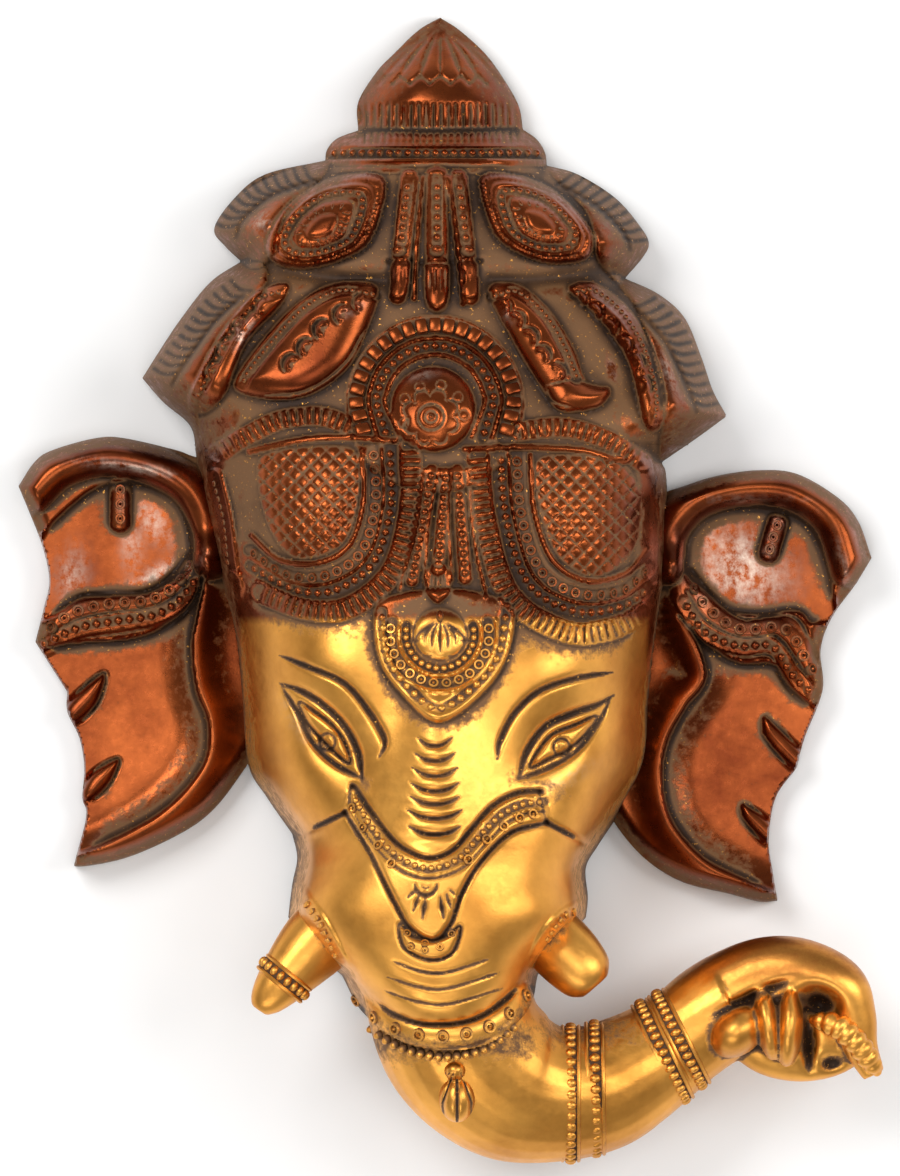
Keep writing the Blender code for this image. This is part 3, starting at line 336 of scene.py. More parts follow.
class HeightMap:
    """Heights of a front, with the dirt and painted shade, copper and painted glints on it, on a regular
    grid.
    """

    def __init__(self) -> None:
        """Lay the grid over the whole mask, with a few cells to spare."""
        spare = 4 * MAP_STEP
        self.origin = (NODE_LOW.x - spare, NODE_LOW.y - spare)
        across = int((NODE_HIGH.x - NODE_LOW.x + 2 * spare) / MAP_STEP) + 1
        along = int((NODE_HIGH.y - NODE_LOW.y + 2 * spare) / MAP_STEP) + 1
        self.shape = (across, along)
        self.x, self.y = np.meshgrid(self.origin[0] + MAP_STEP * np.arange(across),
                                     self.origin[1] + MAP_STEP * np.arange(along), indexing="ij")
        self.column, self.row = units(self.x, self.y)
        self.z = np.zeros(self.shape)
        self.dirt_and_shade = np.zeros(self.shape)
        self.copper = np.zeros(self.shape)
        self.painted_glint = np.zeros(self.shape)
        self.lining = np.zeros(self.shape)

    def window(self, low: np.ndarray, high: np.ndarray) -> Window:
        """Slices of the grid that cover a box in metres."""
        spans = []
        for axis in (0, 1):
            first = int(math.floor((low[axis] - self.origin[axis]) / MAP_STEP))
            last = int(math.ceil((high[axis] - self.origin[axis]) / MAP_STEP)) + 1
            first = min(max(first, 0), self.shape[axis])
            spans.append(slice(first, min(max(last, first), self.shape[axis])))
        return spans[0], spans[1]

    def trace(self, line: np.ndarray, reach: float) -> Trace:
        """Find how far each near point is from a line, and where along it.

        Args:
            line: samples of the line in metres.
            reach: points farther than this are left at infinity.

        Returns:
            The trace, over the window that the line and its reach cover.
        """
        window = self.window(line.min(axis=0) - reach, line.max(axis=0) + reach)
        distance = np.full((window[0].stop - window[0].start, window[1].stop - window[1].start), np.inf)
        arcs = np.zeros(distance.shape)
        total = 0.0
        for start, end in zip(line, line[1:]):
            step = end - start
            length = math.hypot(*step)
            if length == 0:
                continue
            part = self.window(np.minimum(start, end) - reach, np.maximum(start, end) + reach)
            dx = self.x[part] - start[0]
            dy = self.y[part] - start[1]
            t = np.clip((dx * step[0] + dy * step[1]) / length ** 2, 0, 1)
            away = np.hypot(dx - t * step[0], dy - t * step[1])
            inner = (slice(part[0].start - window[0].start, part[0].stop - window[0].start),
                     slice(part[1].start - window[1].start, part[1].stop - window[1].start))
            closer = (away < distance[inner]) & (away <= reach)
            distance[inner] = np.where(closer, away, distance[inner])
            arcs[inner] = np.where(closer, total + t * length, arcs[inner])
            total += length
        return Trace(window, distance, arcs, total)

    def darken(self, window: Window, amount: np.ndarray) -> None:
        """Darken a window to at least this amount, for dirt and for painted shade."""
        self.dirt_and_shade[window] = np.maximum(self.dirt_and_shade[window], amount)

    def brown_edge(self, loop: np.ndarray, width: float, amount: np.ndarray) -> None:
        """Keep a band along an outline brown, as painted shade on the rounded edge.

        Args:
            loop: outline in metres.
            width: width of the band in metres.
            amount: painted shade on the outline, for the whole map.
        """
        traced = self.trace(np.vstack([loop, loop[:1]]), width)
        near = np.where(np.isfinite(traced.distance), ease(1.7 * (1 - traced.distance / width)), 0)
        self.darken(traced.window, amount[traced.window] * near)

    def plate(self, path: Path, lift: float, edge: float, clean: float = 0.0) -> None:
        """Raise a closed outline with a rounded edge.

        Args:
            path: outline in carving units.
            lift: rise in metres.
            edge: width of the rounding in carving units.
            clean: share of the dirt that polishing takes off inside it.
        """
        loop = line_of(path, closed=True)
        traced = self.trace(loop, edge * UNIT)
        window = traced.window
        within = inside(self.x[window], self.y[window], loop)
        t = 1 - np.clip(traced.distance / (edge * UNIT), 0, 1)
        self.z[window] += np.where(within, lift * np.sqrt(1 - t * t), 0)
        self.dirt_and_shade[window] *= 1 - clean * np.where(within, ease(1.4 * (1 - t)), 0)

    def dish(self, path: Path, depth: float, edge: float, dirt_and_shade: float = 0.0) -> None:
        """Sink a closed outline, with dirt at the foot of its wall.

        Args:
            path: outline in carving units.
            depth: depth in metres.
            edge: width of the wall in carving units.
            dirt_and_shade: how dark the foot of the wall is.
        """
        loop = line_of(path, closed=True)
        traced = self.trace(loop, 4 * edge * UNIT)
        window = traced.window
        within = inside(self.x[window], self.y[window], loop)
        t = np.clip(traced.distance / (edge * UNIT), 0, 4)
        self.z[window] -= np.where(within, depth * ease(t), 0)
        self.darken(window, np.where(within, dirt_and_shade * np.exp(-((t - 0.9) / 1.1) ** 2), 0))

    def ridge(self, path: Path, width: float, lift: float, closed: bool = False,
              clean: float = 0.0) -> None:
        """Raise a round band.

        Args:
            path: places in carving units.
            width: width in carving units.
            lift: rise in metres.
            closed: whether the path is a loop.
            clean: share of the dirt that polishing takes off its crest.
        """
        half = width * UNIT / 2
        traced = self.trace(line_of(path, closed), half)
        t = np.clip(traced.distance / half, 0, 1)
        self.z[traced.window] += lift * np.sqrt(1 - t * t)
        self.dirt_and_shade[traced.window] *= 1 - clean * ease(1.5 * (1 - t))

    def groove(self, path: Path, width: float, depth: float, closed: bool = False,
               taper: bool = True) -> None:
        """Cut an engraved line that thins out towards its ends.

        Args:
            path: places in carving units.
            width: width at the surface in carving units.
            depth: depth in metres.
            closed: whether the path is a loop.
            taper: whether the ends thin out.
        """
        half = width * UNIT / 2
        traced = self.trace(line_of(path, closed), 2.5 * half)
        narrow = 1.0
        if taper and not closed:
            ends = np.minimum(traced.arc, traced.length - traced.arc)
            narrow = np.sqrt(np.clip(ends / (7 * half), 0.1, 1))
        t = np.clip(traced.distance / (half * narrow), 0, 4)
        self.z[traced.window] -= depth * narrow * np.exp(-t * t)
        self.darken(traced.window, np.exp(-(0.75 * t) ** 2))

    def channel(self, path: Path, width: float, depth: float, closed: bool = False,
                dirt_and_shade: float = 0.85) -> None:
        """Sink a flat, dirty floor for beads to stand on.

        Args:
            path: places in carving units.
            width: width in carving units.
            depth: depth in metres.
            closed: whether the path is a loop.
            dirt_and_shade: how dark the floor is.
        """
        half = width * UNIT / 2
        traced = self.trace(line_of(path, closed), 1.3 * half)
        t = np.where(np.isfinite(traced.distance), ease((1.25 - traced.distance / half) / 0.35), 0)
        self.z[traced.window] -= depth * t
        self.darken(traced.window, dirt_and_shade * t)

    def comb(self, path: Path, width: float, pitch: float, depth: float, closed: bool = False) -> None:
        """Cut short lines across a band.

        Args:
            path: middle of the band in carving units.
            width: width of the band in carving units.
            pitch: distance between the lines in carving units.
            depth: depth in metres.
            closed: whether the path is a loop.
        """
        half = width * UNIT / 2
        traced = self.trace(line_of(path, closed), half)
        count = max(2, round(traced.length / (pitch * UNIT)))
        wave = 0.5 + 0.5 * np.cos(2 * math.pi * count * traced.arc / traced.length)
        t = wave ** 3 * np.where(np.isfinite(traced.distance), ease(3 * (1 - traced.distance / half)), 0)
        self.z[traced.window] -= depth * t
        self.darken(traced.window, COMB_DIRT * t)

    def darken_along(self, path: Path, width: float, amount: float) -> None:
        """Darken a soft band along a path, for dirt and for painted shade, half gone at a width in carving
        units.
        """
        half = width * UNIT
        traced = self.trace(line_of(path), 2.6 * half)
        self.darken(traced.window, amount * np.exp(-0.7 * np.minimum(traced.distance / half, 9) ** 2))

    def paint_glint(self, centre: Place, reach: Place, amount: float, turn: float = 0) -> None:
        """Paint a pale glint on an oval: a painted highlight."""
        self.painted_glint = np.maximum(self.painted_glint, amount * bell(self.column, self.row, centre, reach, turn))

    def swell(self, centre: Place, reach: Place, lift: float, turn: float = 0) -> None:
        """Add a soft bell, or with a negative lift a hollow."""
        self.z += lift * bell(self.column, self.row, centre, reach, turn)

    def dome(self, centre: Place, radius: float, lift: float) -> np.ndarray:
        """Add a round dome.

        Args:
            centre: middle in carving units.
            radius: radius of its foot in carving units.
            lift: rise in metres.

        Returns:
            Each point's distance from the middle in radii.
        """
        t = np.hypot(self.column - centre[0], self.row - centre[1]) / radius
        self.z += lift * np.sqrt(1 - np.clip(t, 0, 1) ** 2)
        return t

    def spine(self, path: Path, widths: tuple, lift: float) -> None:
        """Raise a soft ridge of changing width.

        Args:
            path: places in carving units.
            widths: pairs of the share along the path and the width in carving units.
            lift: rise in metres.
        """
        widest = max(width for _, width in widths) * UNIT
        traced = self.trace(line_of(path), 2.2 * widest)
        t = traced.distance / (blend_rows(traced.arc / traced.length, widths, 1) * UNIT)
        self.z[traced.window] += lift * np.exp(-np.minimum(t, 9) ** 2)

    def limb(self, samples: np.ndarray, lift: float, where: np.ndarray) -> None:
        """Raise the map to a round limb wherever that is higher.

        Args:
            samples: X, Y, height of the middle and radius of the limb, in metres.
            lift: how far the map stands above the limb.
            where: which points may be raised.
        """
        tall = np.zeros(self.shape)
        for x, y, middle, radius in samples:
            part = self.window(np.array([x, y]) - radius, np.array([x, y]) + radius)
            left = radius ** 2 - (self.x[part] - x) ** 2 - (self.y[part] - y) ** 2
            round_top = np.where(left > 0, middle + lift + np.sqrt(np.maximum(left, 0)), 0)
            tall[part] = np.maximum(tall[part], round_top)
        self.z = np.where(where, np.maximum(self.z, tall), self.z)

    def net(self, path: Path, pitch: float, depth: float) -> None:
        """Cut a diagonal net that leaves a pillow in each of its cells.

        Args:
            path: outline of the net in carving units.
            pitch: distance between the lines in carving units.
            depth: depth of the lines in metres.
        """
        loop = line_of(path, closed=True)
        traced = self.trace(loop, 4 * UNIT)
        window = traced.window
        within = inside(self.x[window], self.y[window], loop)
        edge = np.where(within, ease(np.minimum(traced.distance / (4 * UNIT), 1)), 0)
        place = (self.column[window] + self.row[window]) / (pitch * math.sqrt(2))
        other = (self.column[window] - self.row[window]) / (pitch * math.sqrt(2))
        across = np.abs(place % 1 - 0.5) * 2
        along = np.abs(other % 1 - 0.5) * 2
        cut = np.maximum(across, along) ** 7
        self.z[window] -= depth * edge * cut
        self.dirt_and_shade[window] = self.dirt_and_shade[window] * (1 - edge) + edge * np.clip(1.4 * cut - 0.15, 0, 1)

    def line_inside(self) -> None:
        """Work out the inside: the front sunk by a ball of the wall's thickness."""
        coarse = self.z[::BACK_STEPS, ::BACK_STEPS]
        for i in range(BACK_STEPS):
            for j in range(BACK_STEPS):
                shifted = np.pad(self.z[i:, j:], ((0, i), (0, j)))[::BACK_STEPS, ::BACK_STEPS]
                coarse = np.minimum(coarse, shifted)
        spacing = BACK_STEPS * MAP_STEP
        reach = int(WALL / spacing) + 1
        padded = np.pad(coarse, reach)
        inner = np.full(coarse.shape, np.inf)
        for i in range(-reach, reach + 1):
            for j in range(-reach, reach + 1):
                away = math.hypot(i, j) * spacing
                if away < WALL:
                    shifted = padded[reach + i:reach + i + coarse.shape[0],
                                     reach + j:reach + j + coarse.shape[1]]
                    inner = np.minimum(inner, shifted - math.sqrt(WALL ** 2 - away ** 2))
        inner = np.maximum(inner, 0)
        for _ in range(BACK_SMOOTHING):
            edged = np.pad(inner, 1, mode="edge")
            around = (edged[2:, 1:-1] + edged[:-2, 1:-1] + edged[1:-1, 2:] + edged[1:-1, :-2]) / 4
            inner = np.minimum(inner, around)
        x = np.minimum(np.arange(self.shape[0]) / BACK_STEPS, inner.shape[0] - 1.001)
        y = np.minimum(np.arange(self.shape[1]) / BACK_STEPS, inner.shape[1] - 1.001)
        self.lining = sample(inner, x[:, None], y[None, :])

    def weather(self) -> None:
        """Settle dirt in the hollows and rub it off the crests."""
        for cells, depth, share in ((2, 0.00022, 0.8), (7, 0.0009, 0.6)):
            dip = (blur(self.z, cells) - self.z) / depth
            self.dirt_and_shade += share * np.clip(dip - 0.15, 0, 1) * (1 - self.dirt_and_shade)
            self.dirt_and_shade *= 1 - 0.75 * np.clip(-dip - 0.1, 0, 1)

    def read(self, grid: np.ndarray, x: np.ndarray, y: np.ndarray) -> np.ndarray:
        """Value of one of the map's grids at any points in metres."""
        across = np.clip((x - self.origin[0]) / MAP_STEP, 0, self.shape[0] - 1.001)
        along = np.clip((y - self.origin[1]) / MAP_STEP, 0, self.shape[1] - 1.001)
        return sample(grid, np.asarray(across), np.asarray(along))


class Stud(Enum):
    """Kinds of small raised shape that are modelled once and copied."""

    BEAD = "bead"
    DIAMOND = "diamond"
    BLOCK = "block"
    RING = "ring"
    SCALE = "scale"


@dataclass
class Stamp:
    """Mesh of one small shape, a unit across each way, standing on its own foot."""

    corners: np.ndarray
    faces: list[tuple[int, ...]]


def take_active() -> Stamp:
    """Keep the active object's mesh as a stamp and delete the object."""
    model = bpy.context.active_object
    corners = np.array([vert.co[:] for vert in model.data.vertices])
    faces = [tuple(face.vertices) for face in model.data.polygons]
    bpy.data.objects.remove(model)
    return Stamp(corners, faces)


def pick(*pieces: bpy.types.Object) -> None:
    """Select only these pieces, the first of them active."""
    bpy.ops.object.select_all(action="DESELECT")
    for piece in pieces:
        piece.select_set(True)
    bpy.context.view_layer.objects.active = pieces[0]


def apply(piece: bpy.types.Object, name: str) -> None:
    """Apply one of a piece's modifiers, with nothing else selected."""
    pick(piece)
    bpy.ops.object.modifier_apply(modifier=name)


def model_stamp(kind: Stud) -> Stamp:
    """Model one small raised shape.

    Args:
        kind: which shape.

    Returns:
        The shape's mesh.
    """
    bpy.ops.object.select_all(action="DESELECT")
    if kind in (Stud.BEAD, Stud.SCALE):
        bpy.ops.mesh.primitive_uv_sphere_add(segments=10, ring_count=6, radius=1)
        stamp = take_active()
        if kind is Stud.SCALE:
            stamp.corners[:, 1] *= 0.62 + 0.38 * stamp.corners[:, 0]
    elif kind is Stud.RING:
        bpy.ops.mesh.primitive_torus_add(major_segments=14, minor_segments=6, major_radius=0.74,
                                         minor_radius=0.28)
        stamp = take_active()
        bpy.ops.mesh.primitive_uv_sphere_add(segments=6, ring_count=4, radius=0.34)
        dot = take_active()
        shift = len(stamp.corners)
        stamp = Stamp(np.vstack([stamp.corners, dot.corners]),
                      stamp.faces + [tuple(i + shift for i in face) for face in dot.faces])
        stamp.corners[:, 2] *= 1 / 0.34
    else:
        bpy.ops.mesh.primitive_cube_add(size=2)
        cube = bpy.context.active_object
        if kind is Stud.DIAMOND:
            for vert in cube.data.vertices:
                if vert.co.z > 0:
                    vert.co.x *= 0.5
                    vert.co.y *= 0.5
        bevel = cube.modifiers.new("bevel", "BEVEL")
        bevel.width = 0.34
        bevel.segments = 2
        apply(cube, "bevel")
        stamp = take_active()
        if kind is Stud.DIAMOND:
            quarter = math.pi / 4
            x, y = stamp.corners[:, 0].copy(), stamp.corners[:, 1].copy()
            stamp.corners[:, 0] = x * math.cos(quarter) - y * math.sin(quarter)
            stamp.corners[:, 1] = x * math.sin(quarter) + y * math.cos(quarter)
    return stamp


def new_piece(name: str, corners: np.ndarray, faces: list) -> bpy.types.Object:
    """Link a mesh to the scene as a named object."""
    mesh = bpy.data.meshes.new(name)
    mesh.from_pydata(corners.tolist(), [], faces)
    mesh.update()
    piece = bpy.data.objects.new(name, mesh)
    bpy.context.scene.collection.objects.link(piece)
    return piece


def store_wear_and_light(piece: bpy.types.Object, dirt_and_shade: np.ndarray, copper: np.ndarray, painted_glint: np.ndarray = 0) -> None:
    """Store the dirt and painted shade, copper and painted glints of a piece's corners, each one number or
    one a corner.
    """
    for name, values in (("dirt_and_shade", dirt_and_shade), ("copper", copper), ("painted_glint", painted_glint)):
        layer = piece.data.attributes.new(name, "FLOAT", "POINT")
        each = np.broadcast_to(np.asarray(values, dtype=np.float32), len(piece.data.vertices))
        layer.data.foreach_set("value", np.ascontiguousarray(each))


def corners_of(piece: bpy.types.Object) -> np.ndarray:
    """Corners of a piece's mesh, one per row."""
    flat = np.empty(3 * len(piece.data.vertices))
    piece.data.vertices.foreach_get("co", flat)
    return flat.reshape(-1, 3)


def move_corners(piece: bpy.types.Object, corners: np.ndarray) -> None:
    """Put a piece's corners somewhere else."""
    piece.data.vertices.foreach_set("co", np.ascontiguousarray(corners).ravel())
    piece.data.update()


def smooth_shade(piece: bpy.types.Object, degrees: float = 50) -> None:
    """Shade a piece smoothly, but for edges sharper than an angle in degrees."""
    pick(piece)
    bpy.ops.object.shade_smooth_by_angle(angle=math.radians(degrees))


def ends_of(piece: bpy.types.Object) -> np.ndarray:
    """First and second corner of each of a piece's edges, as two rows."""
    edges = np.empty(2 * len(piece.data.edges), dtype=np.int32)
    piece.data.edges.foreach_get("vertices", edges)
    return edges.reshape(-1, 2).T


def halfway(values: np.ndarray, ends: np.ndarray) -> np.ndarray:
    """Each corner's values moved halfway to the mean of its neighbours'."""
    first, second = ends
    size = len(values)
    count = np.maximum(np.bincount(first, minlength=size) + np.bincount(second, minlength=size), 1)
    total = [np.bincount(first, column[second], size) + np.bincount(second, column[first], size)
             for column in values.T]
    return 0.5 * values + 0.5 * np.array(total).T / count[:, None]


def hollows(piece: bpy.types.Object, rounds: int) -> np.ndarray:
    """Measure how far each corner of a mesh lies below its smoothed neighbours.

    Args:
        piece: the object.
        rounds: how often the copy is smoothed, so how wide the hollows are.

    Returns:
        Depths in metres, negative on crests.
    """
    corners = corners_of(piece)
    ends = ends_of(piece)
    even = corners
    for _ in range(rounds):
        even = halfway(even, ends)
    normals = np.empty(3 * len(corners))
    piece.data.vertex_normals.foreach_get("vector", normals)
    return ((even - corners) * normals.reshape(-1, 3)).sum(axis=1)


class StudField:
    """Small raised shapes set on a map's surface and joined into one piece."""

    stamps: dict[Stud, Stamp] = {}

    def __init__(self, name: str, sheet: HeightMap) -> None:
        """Start an empty field.

        Args:
            name: name of the piece that it becomes.
            sheet: map that the studs stand on.
        """
        self.name = name
        self.sheet = sheet
        self.ground = blur(sheet.z, 1)
        self.corners: list[np.ndarray] = []
        self.faces: list[tuple[int, ...]] = []
        self.dirt_and_shade: list[np.ndarray] = []
        self.count = 0

    def level(self, x: float, y: float) -> float:
        """Height of the map's surface at a place in metres."""
        return float(self.sheet.read(self.ground, x, y))

    def put(self, kind: Stud, x: float, y: float, turn: float, size: Size) -> None:
        """Set one stud.

        Args:
            kind: which shape.
            x: place in metres.
            y: place in metres.
            turn: direction of its length in radians.
            size: length and width in carving units, and height in metres.
        """
        if self.level(x, y) < EDGE:
            return
        if kind not in StudField.stamps:
            StudField.stamps[kind] = model_stamp(kind)
        stamp = StudField.stamps[kind]
        step = 2.5 * MAP_STEP
        up = Vector((self.level(x - step, y) - self.level(x + step, y),
                     self.level(x, y - step) - self.level(x, y + step), 2 * step))
        up.z = max(up.z, 0.5 * math.hypot(up.x, up.y))
        up.normalize()
        along = Vector((math.cos(turn), math.sin(turn), 0))
        along = (along - up * along.dot(up)).normalized()
        across = up.cross(along)
        reach = np.array([size[0] * UNIT / 2, size[1] * UNIT / 2, size[2]])
        local = stamp.corners * reach
        local[:, 2] -= SINK * size[2]
        turned = local @ np.array([along[:], across[:], up[:]])
        self.corners.append(turned + np.array([x, y, self.level(x, y)]))
        self.dirt_and_shade.append(np.clip(0.95 - 1.25 * np.clip(local[:, 2] / size[2], 0, 1), 0, 1))
        self.faces += [tuple(i + self.count for i in face) for face in stamp.faces]
        self.count += len(stamp.corners)

    def row(self, kind: Stud, path: Path, pitch: float, size: Size, turn: float = 0.0,
            closed: bool = False) -> None:
        """Set studs at even spaces along a path.

        Args:
            kind: which shape.
            path: places in carving units.
            pitch: distance between them in carving units.
            size: length and width in carving units, and height in metres.
            turn: turn away from the path in degrees.
            closed: whether the path is a loop.
        """
        for x, y, heading in spaced(path, pitch, closed):
            self.put(kind, x, y, heading + math.radians(turn), size)

    def spot(self, kind: Stud, place: Place, size: Size) -> None:
        """Set one stud at a place in carving units."""
        self.put(kind, *at(*place), 0, size)

    def build(self) -> bpy.types.Object:
        """Join the studs into one dressed piece.

        Returns:
            The piece.
        """
        corners = np.vstack(self.corners)
        piece = new_piece(self.name, corners, self.faces)
        x, y, _ = corners.T
        store_wear_and_light(piece, np.concatenate(self.dirt_and_shade), self.sheet.read(self.sheet.copper, x, y),
             self.sheet.read(self.sheet.painted_glint, x, y))
        smooth_shade(piece, 40)
        log.info("%s: %d studs, %d faces", self.name, len(self.corners), len(self.faces))
        return piece


@dataclass
class Shell:
    """One closed shell cut from a map, from one row of the mask to another."""

    name: str
    sheet: HeightMap
    loop: np.ndarray
    first_row: float
    last_row: float
    tuck: float = 0.0

    def build(self) -> bpy.types.Object:
        """Cut the shell out of a grid and give it its wall.

        Returns:
            The piece, with its dirt and painted shade, copper and painted glints stored on its corners.
        """
        low = self.loop.min(axis=0) - SHELL_STEP
        high = self.loop.max(axis=0) + SHELL_STEP
        top = at(0, self.first_row)[1]
        bottom = at(0, self.last_row)[1]
        high[1] = min(high[1], top)
        low[1] = max(low[1], bottom)
        count = np.maximum(np.round((high - low) / SHELL_STEP).astype(int), 1)
        bpy.ops.object.select_all(action="DESELECT")
        bpy.ops.mesh.primitive_grid_add(x_subdivisions=int(count[0]), y_subdivisions=int(count[1]), size=1)
        piece = bpy.context.active_object
        piece.name = self.name
        flat = corners_of(piece)
        flat[:, :2] = low + (flat[:, :2] + 0.5) * (high - low)
        self.trim(piece, flat)
        flat = corners_of(piece)
        rim = self.rim_of(piece)
        self.fit_rim(piece, flat, rim, (high[1], low[1]))
        move_corners(piece, flat)
        size = len(flat)
        wall = piece.modifiers.new("wall", "SOLIDIFY")
        wall.thickness = WALL
        wall.offset = -1
        apply(piece, "wall")
        shaped = np.vstack([flat, flat])
        front = self.sheet.read(self.sheet.z, flat[:, 0], flat[:, 1])
        _, row = units(flat[:, 0], flat[:, 1])
        if self.tuck:
            front -= 0.0005 * ease((self.first_row + self.tuck - row) / self.tuck)
        on_outline = rim & (row > self.first_row + 0.5) & (row < self.last_row - 0.5)
        shaped[:size, 2] = np.where(on_outline, EDGE, np.maximum(front, EDGE))
        lining = self.sheet.read(self.sheet.lining, flat[:, 0], flat[:, 1])
        shaped[size:, 2] = np.where(on_outline, 0, np.clip(lining, 0, shaped[:size, 2] - 0.6 * WALL))
        move_corners(piece, shaped)
        group = piece.vertex_groups.new(name="back")
        group.add(list(range(size, 2 * size)), 1.0, "REPLACE")
        thin = piece.modifiers.new("thin", "DECIMATE")
        thin.ratio = KEPT_SHARE
        thin.vertex_group = "back"
        apply(piece, "thin")
        settled = corners_of(piece)
        settled[:, 2] = np.maximum(settled[:, 2], 0)
        move_corners(piece, settled)
        self.dress(piece)
        smooth_shade(piece)
        log.info("%s: %d corners", self.name, len(piece.data.vertices))
        return piece

    def trim(self, piece: bpy.types.Object, flat: np.ndarray) -> None:
        """Move the grid into place and delete its faces outside the outline."""
        move_corners(piece, flat)
        middles = np.empty(3 * len(piece.data.polygons))
        piece.data.polygons.foreach_get("center", middles)
        middles = middles.reshape(-1, 3)
        outside = ~inside(middles[:, 0], middles[:, 1], self.loop)
        for part in (piece.data.vertices, piece.data.edges):
            part.foreach_set("select", np.zeros(len(part), dtype=bool))
        piece.data.polygons.foreach_set("select", outside)
        bpy.ops.object.mode_set(mode="EDIT")
        bpy.ops.mesh.select_mode(type="FACE")
        bpy.ops.mesh.delete(type="FACE")
        bpy.ops.object.mode_set(mode="OBJECT")

    def rim_of(self, piece: bpy.types.Object) -> np.ndarray:
        """Which corners lie on the flat sheet's open edge."""
        loops = np.empty(len(piece.data.loops), dtype=np.int32)
        piece.data.loops.foreach_get("edge_index", loops)
        used = np.bincount(loops, minlength=len(piece.data.edges))
        rim = np.zeros(len(piece.data.vertices), dtype=bool)
        rim[ends_of(piece)[:, used == 1].ravel()] = True
        return rim

    def fit_rim(self, piece: bpy.types.Object, flat: np.ndarray, rim: np.ndarray,
                seams: tuple[float, float]) -> None:
        """Draw the open edge onto the outline and even out the corners beside it.

        Args:
            piece: the flat sheet.
            flat: its corners, moved in place.
            rim: which corners are on its edge.
            seams: heights up the mask of the two straight cuts, in metres.
        """
        cut = (np.abs(flat[:, 1] - seams[0]) < 1e-5) | (np.abs(flat[:, 1] - seams[1]) < 1e-5)
        picked = np.nonzero(rim & ~cut)[0]
        best = np.full(len(picked), np.inf)
        near = flat[picked, :2].copy()
        for start, end in zip(self.loop, np.roll(self.loop, -1, axis=0)):
            step = end - start
            t = np.clip(((flat[picked, :2] - start) @ step) / max(step @ step, 1e-15), 0, 1)
            place = start + t[:, None] * step
            away = np.hypot(*(flat[picked, :2] - place).T)
            closer = away < best
            best = np.where(closer, away, best)
            near[closer] = place[closer]
        flat[picked, :2] = near
        first, second = ends_of(piece)
        ring = rim.copy()
        for _ in range(3):
            grown = ring.copy()
            grown[first[ring[second]]] = True
            grown[second[ring[first]]] = True
            ring = grown
        loose = ring & ~rim
        for _ in range(EVEN_ROUNDS):
            flat[loose] = halfway(flat, (first, second))[loose]

    def dress(self, piece: bpy.types.Object) -> None:
        """Store the dirt and painted shade, copper and painted glints of every corner."""
        corners = corners_of(piece)
        x, y, z = corners.T
        front = self.sheet.read(self.sheet.z, x, y)
        lining = self.sheet.read(self.sheet.lining, x, y)
        behind = np.clip((front - z) / np.maximum(front - lining, 0.6 * WALL), 0, 1) > 0.6
        behind &= lining > 0.0005
        dirt_and_shade = self.sheet.read(self.sheet.dirt_and_shade, x, y)
        store_wear_and_light(piece, np.where(behind, 0.9, dirt_and_shade), self.sheet.read(self.sheet.copper, x, y),
             np.where(behind, 0, self.sheet.read(self.sheet.painted_glint, x, y)))


def limb_samples(path: tuple, radius: float, lift: float, step: float = 0.0012) -> np.ndarray:
    """Place round sections along a limb.

    Args:
        path: X, Y, share of the radius and added height of its knots.
        radius: full radius in metres.
        lift: height of its middle line in metres.
        step: distance between sections in metres.

    Returns:
        X, Y, height of the middle and radius of each section, in metres.
    """
    knots = [(*at(x, y), lift + rise, radius * share) for x, y, share, rise in path]
    return curve_through(np.array(knots), step=step)


def sweep(name: str, samples: np.ndarray, sides: int = 12) -> bpy.types.Object:
    """Sweep a round limb with filled ends along its sections.

    Args:
        name: name of the piece.
        samples: X, Y, height of the middle and radius of each section.
        sides: resolution of the section.

    Returns:
        The piece.
    """
    curve = bpy.data.curves.new(name, "CURVE")
    curve.dimensions = "3D"
    curve.bevel_depth = 1.0
    curve.bevel_resolution = sides
    curve.use_fill_caps = True
    spline = curve.splines.new("POLY")
    spline.points.add(len(samples) - 1)
    for point, (x, y, z, radius) in zip(spline.points, samples):
        point.co = (x, y, z, 1)
        point.radius = radius
    piece = bpy.data.objects.new(name, curve)
    bpy.context.scene.collection.objects.link(piece)
    pick(piece)
    bpy.ops.object.convert(target="MESH")
    return bpy.context.active_object


def lump(name: str, centre: tuple[float, float, float], reach: tuple[float, float, float],
         turn: float = 0.0) -> bpy.types.Object:
    """Model an oval lump.

    Args:
        name: name of the piece.
        centre: X and Y in carving units and height in metres.
        reach: half length and half width in carving units and half depth in metres.
        turn: turn of its length in degrees.

    Returns:
        The piece.
    """
    bpy.ops.object.select_all(action="DESELECT")
    bpy.ops.mesh.primitive_uv_sphere_add(segments=40, ring_count=24, radius=1)
    piece = bpy.context.active_object
    piece.name = name
    local = corners_of(piece) * np.array([reach[0] * UNIT, reach[1] * UNIT, reach[2]])
    angle = math.radians(turn)
    x = local[:, 0] * math.cos(angle) - local[:, 1] * math.sin(angle)
    y = local[:, 0] * math.sin(angle) + local[:, 1] * math.cos(angle)
    move_corners(piece, np.column_stack([x, y, local[:, 2]]) + np.array([*at(*centre[:2]), centre[2]]))
    return piece


def fuse(name: str, pieces: list[bpy.types.Object], voxel: float, rounds: int) -> bpy.types.Object:
    """Melt several pieces into one closed skin.

    Args:
        name: name of the result.
        pieces: the pieces, which are used up.
        voxel: size of the skin's cells in metres.
        rounds: how often the skin is smoothed.

    Returns:
        The piece.
    """
    pick(*pieces)
    bpy.ops.object.join()
    whole = bpy.context.active_object
    whole.name = name
    skin = whole.modifiers.new("skin", "REMESH")
    skin.mode = "VOXEL"
    skin.voxel_size = voxel
    apply(whole, "skin")
    soft = whole.modifiers.new("soft", "SMOOTH")
    soft.factor = 0.5
    soft.iterations = rounds
    apply(whole, "soft")
    return whole


